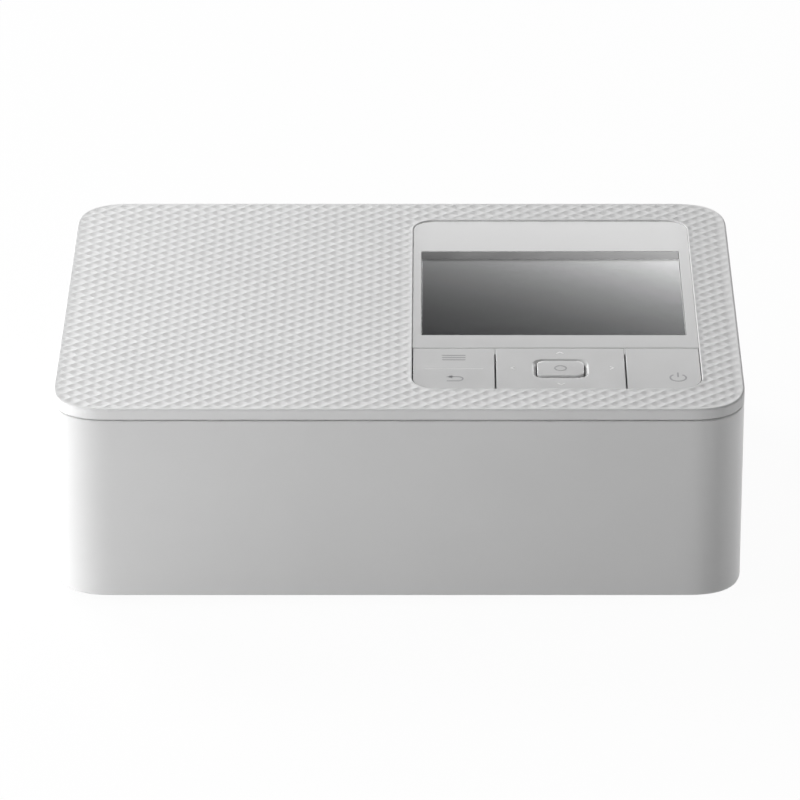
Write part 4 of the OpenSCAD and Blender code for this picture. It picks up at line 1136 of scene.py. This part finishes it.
    def outwards(self, x: float, y: float, distance: float) -> Point:
        """Moves a point at the panel's opening away from its middle."""
        cx = max(self.panel_x[0] + self.panel_r, min(self.panel_x[1] - self.panel_r, x))
        cy = max(self.panel_y[0] + self.panel_r, min(self.panel_y[1] - self.panel_r, y))
        size = max(math.hypot(x - cx, y - cy), 1e-9)
        return x + (x - cx) / size * distance, y + (y - cy) / size * distance


# ---------------------------------------------------------------- panel
@dataclass
class ControlPanel:
    """The display's bezel and cover, the keys and their marks."""

    x: Point = (3.65, 79.85)
    y: Point = (-53.55, 54.75)
    radius: float = 6.25
    close: float = 0.2
    bezel_y: float = -28.45
    key_y: float = -28.56
    bezel_z: Point = (55.2, 57.35)
    window_x: Point = (5.7, 77.1)
    window_y: Point = (-20.5, 33.9)
    lip: float = 1.5
    glass_z: Point = (56.3, 57.27)
    cap_z: Point = (55.2, 57.25)
    menu_x: Point = (3.65, 25.28)
    pad_x: Point = (25.72, 59.88)
    power_x: Point = (60.32, 79.85)
    pad_centre: Point = (42.8, -41.05)
    ok_half: Point = (6.25, 4.6)
    stem_z: Point = (51.6, 55.4)
    slope_y: float = 52.0
    flange_x: Point = (1.45, 82.05)
    flange_back: float = 58.85
    flange_z: Point = (54.4, 55.15)
    display_x: Point = (4.9, 77.9)
    display_y: Point = (-23.4, 38.4)
    deck_x: Point = (5.25, 78.25)
    deck_front: float = -52.5
    deck_z: Point = (52.2, 53.0)
    fill_x: Point = (0.06, 0.38)
    fill_front: float = -32.4
    rocker_x: Point = (7.4, 22.5)
    rocker_z: float = 53.9
    stem_r: float = 1.2
    menu_stems: tuple[Point, ...] = ((14.45, -33.85), (14.45, -47.45))
    pad_reach: Point = (12.9, 9.6)
    power_at: Point = (73.8, -46.7)
    band_y: Point = (28.0, 28.9)

    def build(self) -> None:
        """Builds the bezel, the glass, the keys and the marks."""
        self.bezel()
        self.glass()
        self.keys()
        self.marks()

    def bezel(self) -> None:
        """Builds the bezel with its window, its hidden flange and its key deck."""
        bezel = Piece("display_bezel_skin", Look.PANEL)
        wide = (self.x[0] - self.close, self.x[1] + self.close)
        outline = frame_loop(wide, (self.bezel_y, self.y[1] + self.close), (0, 0, self.radius, self.radius), 12)
        window = frame_loop(self.window_x, self.window_y, 0.4, 4)
        ledge = self.glass_z[0] - 0.05
        bezel.slab([outline, window], soft_levels(ledge, self.bezel_z[1], 0.0, 0.14))
        for x in (self.menu_x[1], self.pad_x[1]):
            across = (x + self.fill_x[0], x + self.fill_x[1])
            height = (self.bezel_z[0] + 0.1, self.bezel_z[1] - 0.1)
            bezel.box(across, (self.fill_front, self.bezel_y + 0.4), height, 0.08)
        low_x = (self.window_x[0] + self.lip, self.window_x[1] - self.lip)
        low_y = (self.window_y[0] + self.lip, self.window_y[1] - self.lip)
        under = frame_loop(low_x, low_y, 0.4, 4)
        bezel.slab([outline, under], soft_levels(self.bezel_z[0], ledge, 0.1, 0.0))
        corners = (0, 0, self.radius, self.radius)
        flange = frame_loop(self.flange_x, (self.bezel_y, self.flange_back), corners, 8)
        opening = frame_loop(self.display_x, self.display_y, 0.4, 3)
        bezel.slab([flange, opening], soft_levels(*self.flange_z, 0.1, 0.1))
        wall = (self.bezel_y, self.bezel_y + 1.5)
        bezel.box(self.deck_x, wall, (self.deck_z[0], self.bezel_z[0] + 0.1))
        bezel.box(self.deck_x, (self.deck_front, wall[1] + 0.05), self.deck_z)
        for vert in bezel.mesh.verts:
            past = vert.co.y - self.slope_y
            if past > 0 and vert.co.z > 56.5:
                vert.co.z -= 0.05 * past
        bezel.finish(["display_bezel"])

    def glass(self) -> None:
        """Builds the display's clear cover."""
        glass = Piece("display_glass", Look.GLASS)
        x = (self.window_x[0] + 0.15, self.window_x[1] - 0.15)
        y = (self.window_y[0] + 0.15, self.window_y[1] - 0.15)
        glass.slab([frame_loop(x, y, 0.3, 4)], soft_levels(*self.glass_z, 0.05, 0.12, 3))
        glass.finish(["display_window"])
        under = [(self.glass_z[0] - 0.045, 0.0), (self.glass_z[0] - 0.015, 0.0)]
        film = Piece("display_film", Look.SCREEN)
        film.slab([frame_loop((x[0] + 0.25, x[1] - 0.25), (y[0] + 0.2, self.band_y[0]))], under)
        film.finish(weighted=False)
        border = Piece("display_border", Look.PRINT)
        inner = frame_loop((x[0] + 0.25, x[1] - 0.25), (y[0] + 0.2, self.band_y[0]))
        border.slab([frame_loop(x, (y[0], self.band_y[1])), inner], under)
        border.finish(weighted=False)
        # Painted shade: a dark sheet laid over the back band of the glass, standing for the shaded wall of the
        # recessed window.
        strip = Piece("display_shade_strip", Look.STRIP)
        over = [(self.glass_z[1] - 0.1, 0.0), (self.glass_z[1] + 0.02, 0.0)]
        strip.slab([frame_loop(x, (self.band_y[1], y[1]))], over)
        strip.finish(weighted=False)

    def cap(self, x: Point) -> Loop:
        """Gives a key's outline, with the panel's round front corners where it meets them."""
        left = self.radius if x[0] <= self.x[0] else 0.0
        right = self.radius if x[1] >= self.x[1] else 0.0
        return frame_loop(x, (self.y[0], self.key_y), (left, right, 0.0, 0.0), 12)

    def keys(self) -> None:
        """Builds the four keys."""
        soft = soft_levels(*self.cap_z, 0.1, 0.14)
        cx, cy = self.pad_centre
        menu = Piece("menu_key_cap", Look.PANEL, "menu_key")
        menu.slab([self.cap(self.menu_x)], soft)
        for at in self.menu_stems:
            menu.rod(upright, at, self.stem_z, self.stem_r)
        half = self.stem_r / 2
        menu.box(self.rocker_x, (cy - half, cy + half), (self.rocker_z, self.cap_z[0] + 0.1))
        menu.rod(facing_x, (cy, self.rocker_z), self.rocker_x, half)
        menu.finish(["menu_key"])

        pad = Piece("navigation_pad_cap", Look.PANEL, "navigation_pad")
        half_x, half_y = self.ok_half
        wide, deep = half_x + 0.3, half_y + 0.3
        hole = frame_loop((cx - wide, cx + wide), (cy - deep, cy + deep), 2.3, 8)
        dish = [(self.cap_z[0], 0.0), (self.cap_z[1] - 0.75, 0.0), (self.cap_z[1] - 0.62, 0.12)]
        dish += [(self.cap_z[1] - 0.07, 0.82), (self.cap_z[1] - 0.01, 0.95), (self.cap_z[1], 1.1)]
        pad.slab([self.cap(self.pad_x), (hole, dish)], soft)
        dx, dy = self.pad_reach
        for at in ((cx, cy + dy), (cx, cy - dy), (cx - dx, cy), (cx + dx, cy)):
            pad.rod(upright, at, self.stem_z, self.stem_r)
        pad.finish(["navigation_pad"])

        middle = Piece("centre_key_cap", Look.PANEL, "ok_key")
        loop = frame_loop((cx - half_x, cx + half_x), (cy - half_y, cy + half_y), 2.0, 8)
        middle.slab([loop], soft_levels(self.cap_z[0], self.cap_z[1] + 0.1, 0.1, 0.3))
        middle.rod(upright, (cx, cy), self.stem_z, self.stem_r)
        middle.finish(["ok_key"])

        power = Piece("power_key_cap", Look.PANEL, "power_key")
        power.slab([self.cap(self.power_x)], soft)
        power.rod(upright, self.power_at, self.stem_z, self.stem_r)
        power.finish(["power_key"])

    def mark(self, name: str, body: str, loops: Sequence[Sequence[Loop]], look: Look, level: float) -> None:
        """Builds a mark a few hundredths of a millimetre proud: printed ink, or pale paint that stands for the
        highlight of a groove or a raised edge.

        Args:
            name: the piece's name.
            body: the key's body.
            loops: each filled shape with its holes.
            look: the ink, or the painted highlight.
            level: the height of the key's face.
        """
        ink = Piece(name, look, body)
        for shape in loops:
            ink.slab(list(shape), [(level - 0.1, 0.0), (level + 0.02, 0.0)])
        ink.finish(weighted=False)

    @staticmethod
    def bar(a: Point, b: Point, width: float) -> Loop:
        """Gives a straight stroke with round ends.

        Args:
            a: one end.
            b: the other end.
            width: the stroke's width.

        Returns:
            Its outline.
        """
        angle = math.degrees(math.atan2(b[1] - a[1], b[0] - a[0]))
        return arc(b, width / 2, angle - 90, angle + 90, 6) + arc(a, width / 2, angle + 90, angle + 270, 6)

    @staticmethod
    def stroke(points: Loop, width: float) -> Loop:
        """Gives a bent stroke of even width, its ends square.

        Args:
            points: the stroke's middle line.
            width: its width.

        Returns:
            Its outline.
        """
        line = np.array(points, float)
        step = np.diff(line, axis=0)
        step /= np.linalg.norm(step, axis=1)[:, None]
        mean = np.vstack([step[:1], step[:-1] + step[1:], step[-1:]])
        mean /= np.linalg.norm(mean, axis=1)[:, None]
        lead = np.vstack([step[:1], step])
        stretch = np.maximum((mean * lead).sum(1), 0.4)
        side = np.stack([-mean[:, 1], mean[:, 0]], 1) * (width / 2 / stretch)[:, None]
        return [tuple(p) for p in np.vstack([line + side, (line - side)[::-1]])]

    def marks(self) -> None:
        """Builds generic symbols: list, back arrow, four chevrons, ring and power; the divider line and the
        chevrons are painted highlights.
        """
        face = self.cap_z[1]
        cx, cy = self.pad_centre
        bars = [[self.bar((11.6, y), (17.4, y), 0.5)] for y in (-33.0, -34.35, -35.7)]
        self.mark("list_symbol", "menu_key", bars, Look.MARK, face)
        # Painted highlight: a pale line where the key has a groove that catches the light.
        line = [[self.bar((6.8, -41.3), (22.2, -41.3), 0.22)]]
        self.mark("menu_key_line", "menu_key", line, Look.LIT_EDGE, face)
        tail = [(13.2, -46.1)] + [(15.6, -46.1)] + arc((15.6, -47.35), 1.25, 80, -80, 10) + [(12.6, -48.6)]
        arrow = [[self.stroke(tail, 0.45)], [[(14.1, -45.1), (14.1, -47.1), (12.5, -46.1)]]]
        self.mark("back_symbol", "menu_key", arrow, Look.MARK, face)
        # Painted highlight: the chevrons are pale paint for raised marks lit on their edges.
        chevrons = []
        for dx, dy, turn in ((0, 9.65, 90), (0, -9.45, 270), (-12.7, 0.35, 180), (13.6, 0.35, 0)):
            a = math.radians(turn)
            line = [(-0.5, 0.95), (0.45, 0.0), (-0.5, -0.95)]
            spun = [
                (cx + dx + u * math.cos(a) - v * math.sin(a), cy + dy + u * math.sin(a) + v * math.cos(a))
                for u, v in line
            ]
            chevrons.append([self.stroke(spun, 0.35)])
        self.mark("arrow_symbols", "navigation_pad", chevrons, Look.LIT_EDGE, face)
        ring = [arc((cx, cy), 1.7, 0, 360, 32)[:-1], arc((cx, cy), 1.3, 0, 360, 32)[:-1]]
        self.mark("centre_symbol", "ok_key", [ring], Look.MARK, face + 0.1)
        at = self.power_at
        loop = arc(at, 2.1, 125, 415, 32)
        power = [[self.stroke(loop, 0.48)], [self.bar((at[0], at[1] + 0.6), (at[0], at[1] + 2.9), 0.48)]]
        self.mark("power_symbol", "power_key", power, Look.MARK, face)


# ---------------------------------------------------------------- what the frame carries
@dataclass
class CarriedParts:
    """The frame's own nodes, which keep their shape and get their finish."""

    nodes: dict[Look, tuple[str, ...]] = field(
        default_factory=lambda: {
            Look.TRAY: ("base_tray",),
            Look.INNER: ("front_frame", "pad_carrier"),
            Look.SCREEN: ("display_module",),
            Look.BOARD: ("key_board", "control_board", "power_board"),
            Look.BLACK: (
                "key_switches", "battery_connector", "dc_inlet", "pickup_arm", "fan_housing", "fan_rotor",
            ),
            Look.RUBBER: ("rubber_feet", "platen_roller", "pinch_roller", "pickup_roller"),
            Look.STEEL: (
                "case_screws", "left_frame", "right_frame", "gear_plate", "inner_screws", "feed_motor",
                "ribbon_motor", "head_bracket",
            ),
            Look.SOCKET: ("card_reader", "usb_a_port", "usb_c_port"),
            Look.CHIP: ("board_chips",),
            Look.FLEX: ("display_cable",),
            Look.SHAFT: (
                "frame_posts", "tie_bars", "platen_shaft", "capstan_shaft", "takeup_spindle",
                "pickup_shaft",
            ),
            Look.GUIDE: ("paper_guides",),
            Look.GEAR: ("capstan_gear", "idler_gear", "spindle_gear"),
            Look.BRASS: ("shaft_bushes", "feed_pinion", "ribbon_pinion"),
            Look.CERAMIC: ("thermal_head",),
            Look.CASSETTE: ("ink_cassette",),
            Look.SPOOL: ("supply_spool", "takeup_spool"),
            Look.RIBBON: ("ink_ribbon",),
            Look.LEVER: ("eject_lever",),
        }
    )

    def dress(self) -> None:
        """Gives each carried node its finish."""
        for look, names in self.nodes.items():
            for name in names:
                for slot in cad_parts[name].material_slots:
                    slot.material = Paint.of(look)
                LOG.info("%s: %s", name, look.name)


# ---------------------------------------------------------------- studio
@dataclass(frozen=True)
class Lamp:
    """A soft rectangular lamp that is never seen itself, not even in gloss or glass."""

    name: str
    at: Point3
    size: Point
    watts: float
    aim: Point3 = (0.0, 0.0, 0.03)

    def build(self) -> None:
        """Puts the lamp into the scene, facing what it lights."""
        data = bpy.data.lights.new(self.name, "AREA")
        data.shape = "RECTANGLE"
        data.size, data.size_y = self.size
        data.energy = self.watts
        thing = bpy.data.objects.new(self.name, data)
        thing.location = self.at
        thing.rotation_mode = "QUATERNION"
        thing.rotation_quaternion = (Vector(self.aim) - Vector(self.at)).to_track_quat("-Z", "Y")
        thing.visible_camera = thing.visible_glossy = thing.visible_transmission = False
        bpy.context.scene.collection.objects.link(thing)


@dataclass
class Studio:
    """Camera, lamps, floor and background."""

    elevation: float = 25.96
    distance: float = 1.485
    target: Point = (0.0104, 0.02795)
    focal_px: float = 5410.0
    centre_px: float = 438.4
    image_px: float = 800.0
    sensor: float = 36.0
    clip: Point = (0.01, 20.0)
    dim: float = 0.02
    floor_half: float = 6.0
    floor_glow: float = 0.13
    floor_share: float = 0.95
    card_at: Point3 = (0.04, 0.72, 0.38)
    card_tilt: float = 64.0
    card_half: float = 0.5
    card_slopes: Point = (13.5, -36.0)
    card_offset: float = -0.27
    card_range: Point = (-2.2, 1.3)
    lamps: tuple[Lamp, ...] = (
        Lamp("left_softbox", (-0.55, -0.15, 0.28), (0.5, 0.5), 3.3),
        Lamp("rear_left_softbox", (-0.85, 1.05, 1.05), (0.8, 0.8), 18.5),
        Lamp("front_softbox", (-0.3, -1.0, 0.5), (0.6, 0.6), 0.95),
        Lamp("right_strip", (0.8, 0.25, 0.2), (0.1, 0.4), 1.6, (0.09, 0.0, 0.03)),
    )

    def camera(self) -> None:
        """Sets the camera at the photograph's angle."""
        e = math.radians(self.elevation)
        ahead = Vector((0, math.cos(e), -math.sin(e)))
        right = Vector((1, 0, 0))
        up = right.cross(ahead)
        data = bpy.data.cameras.new("camera")
        data.sensor_width = self.sensor
        data.lens = self.focal_px / self.image_px * self.sensor
        data.shift_x = -(self.centre_px - self.image_px / 2) / self.image_px
        data.clip_start, data.clip_end = self.clip
        thing = bpy.data.objects.new("camera", data)
        turn = Matrix((right, up, -ahead)).transposed().to_4x4()
        middle = Vector((self.target[0], 0, self.target[1]))
        thing.matrix_world = Matrix.Translation(middle - ahead * self.distance) @ turn
        bpy.context.scene.collection.objects.link(thing)
        bpy.context.scene.camera = thing

    def background(self) -> None:
        """Makes a white background that lights the object only gently."""
        world = bpy.data.worlds.new("studio")
        bpy.context.scene.world = world
        world.use_nodes = True
        wiring = Wiring(world.node_tree)
        wiring.nodes.clear()
        mix = wiring.add("MixShader", {0: wiring.seen()})
        for index, strength in ((1, self.dim), (2, 1.0)):
            glow = wiring.add("Background", {"Color": (1, 1, 1, 1), "Strength": strength})
            wiring.links.new(glow.outputs[0], mix.inputs[index])
        wiring.add("OutputWorld", {"Surface": mix.outputs[0]})

    @staticmethod
    def sheet(tree: Tree, half: float, steps: int) -> bpy.types.Object:
        """Makes a flat square that wears a material and has its name.

        Args:
            tree: the material's tree.
            half: half the square's side.
            steps: into how many strips each side is divided.

        Returns:
            The square, flat at the origin.
        """
        mesh = bmesh.new()
        bmesh.ops.create_grid(mesh, x_segments=steps, y_segments=steps, size=half)
        data = bpy.data.meshes.new(tree.material.name)
        mesh.to_mesh(data)
        mesh.free()
        data.materials.append(tree.material)
        thing = bpy.data.objects.new(tree.material.name, data)
        bpy.context.scene.collection.objects.link(thing)
        return thing

    def floor(self) -> None:
        """Lays a pale floor that reads white to the camera and keeps the shadow."""
        tree = Tree("studio_floor")
        tree.set("Base Color", (0.88, 0.88, 0.88, 1))
        tree.set("Roughness", 0.9)
        tree.set("Specular IOR Level", 0.1)
        tree.set("Emission Color", (1, 1, 1, 1))
        tree.set("Emission Strength", self.floor_glow)
        glow = tree.add("Emission", {"Strength": 1.0})
        share = tree.maths("MULTIPLY", tree.seen(), self.floor_share)
        mix = tree.add("MixShader", {0: share, 1: tree.shader.outputs[0], 2: glow.outputs[0]})
        tree.show(mix.outputs[0])
        self.sheet(tree, self.floor_half, 8)

    def card(self) -> None:
        """Stands a graded card behind the object, which only gloss and glass show."""
        tree = Tree("graded_card")
        parts = tree.add("SeparateXYZ", {0: tree.place}).outputs
        across = tree.maths("MULTIPLY_ADD", parts["X"], self.card_slopes[0], self.card_offset)
        total = tree.maths("MULTIPLY_ADD", parts["Y"], self.card_slopes[1], across)
        low, high = self.card_range
        held = tree.add("Clamp", {"Value": total, "Min": low, "Max": high}).outputs[0]
        tree.show(tree.add("Emission", {"Strength": tree.maths("EXPONENT", held)}).outputs[0])
        thing = self.sheet(tree, self.card_half, 1)
        thing.location = self.card_at
        thing.rotation_euler = (math.radians(self.card_tilt), 0, 0)
        thing.visible_camera = thing.visible_diffuse = thing.visible_shadow = False

    def build(self) -> None:
        """Sets up the whole studio."""
        bpy.context.scene.view_settings.view_transform = "Standard"
        self.camera()
        self.background()
        self.floor()
        self.card()
        for lamp in self.lamps:
            lamp.build()


def main() -> None:
    """Builds the studio and every sub-assembly, in order."""
    logging.basicConfig(level=logging.INFO, format="%(message)s")
    Studio().build()
    for assembly in (TopCover(), FrontCover(), InkDoor(), SideShell(), ControlPanel()):
        assembly.build()
    CarriedParts().dress()


if __name__ == "__main__":
    main()
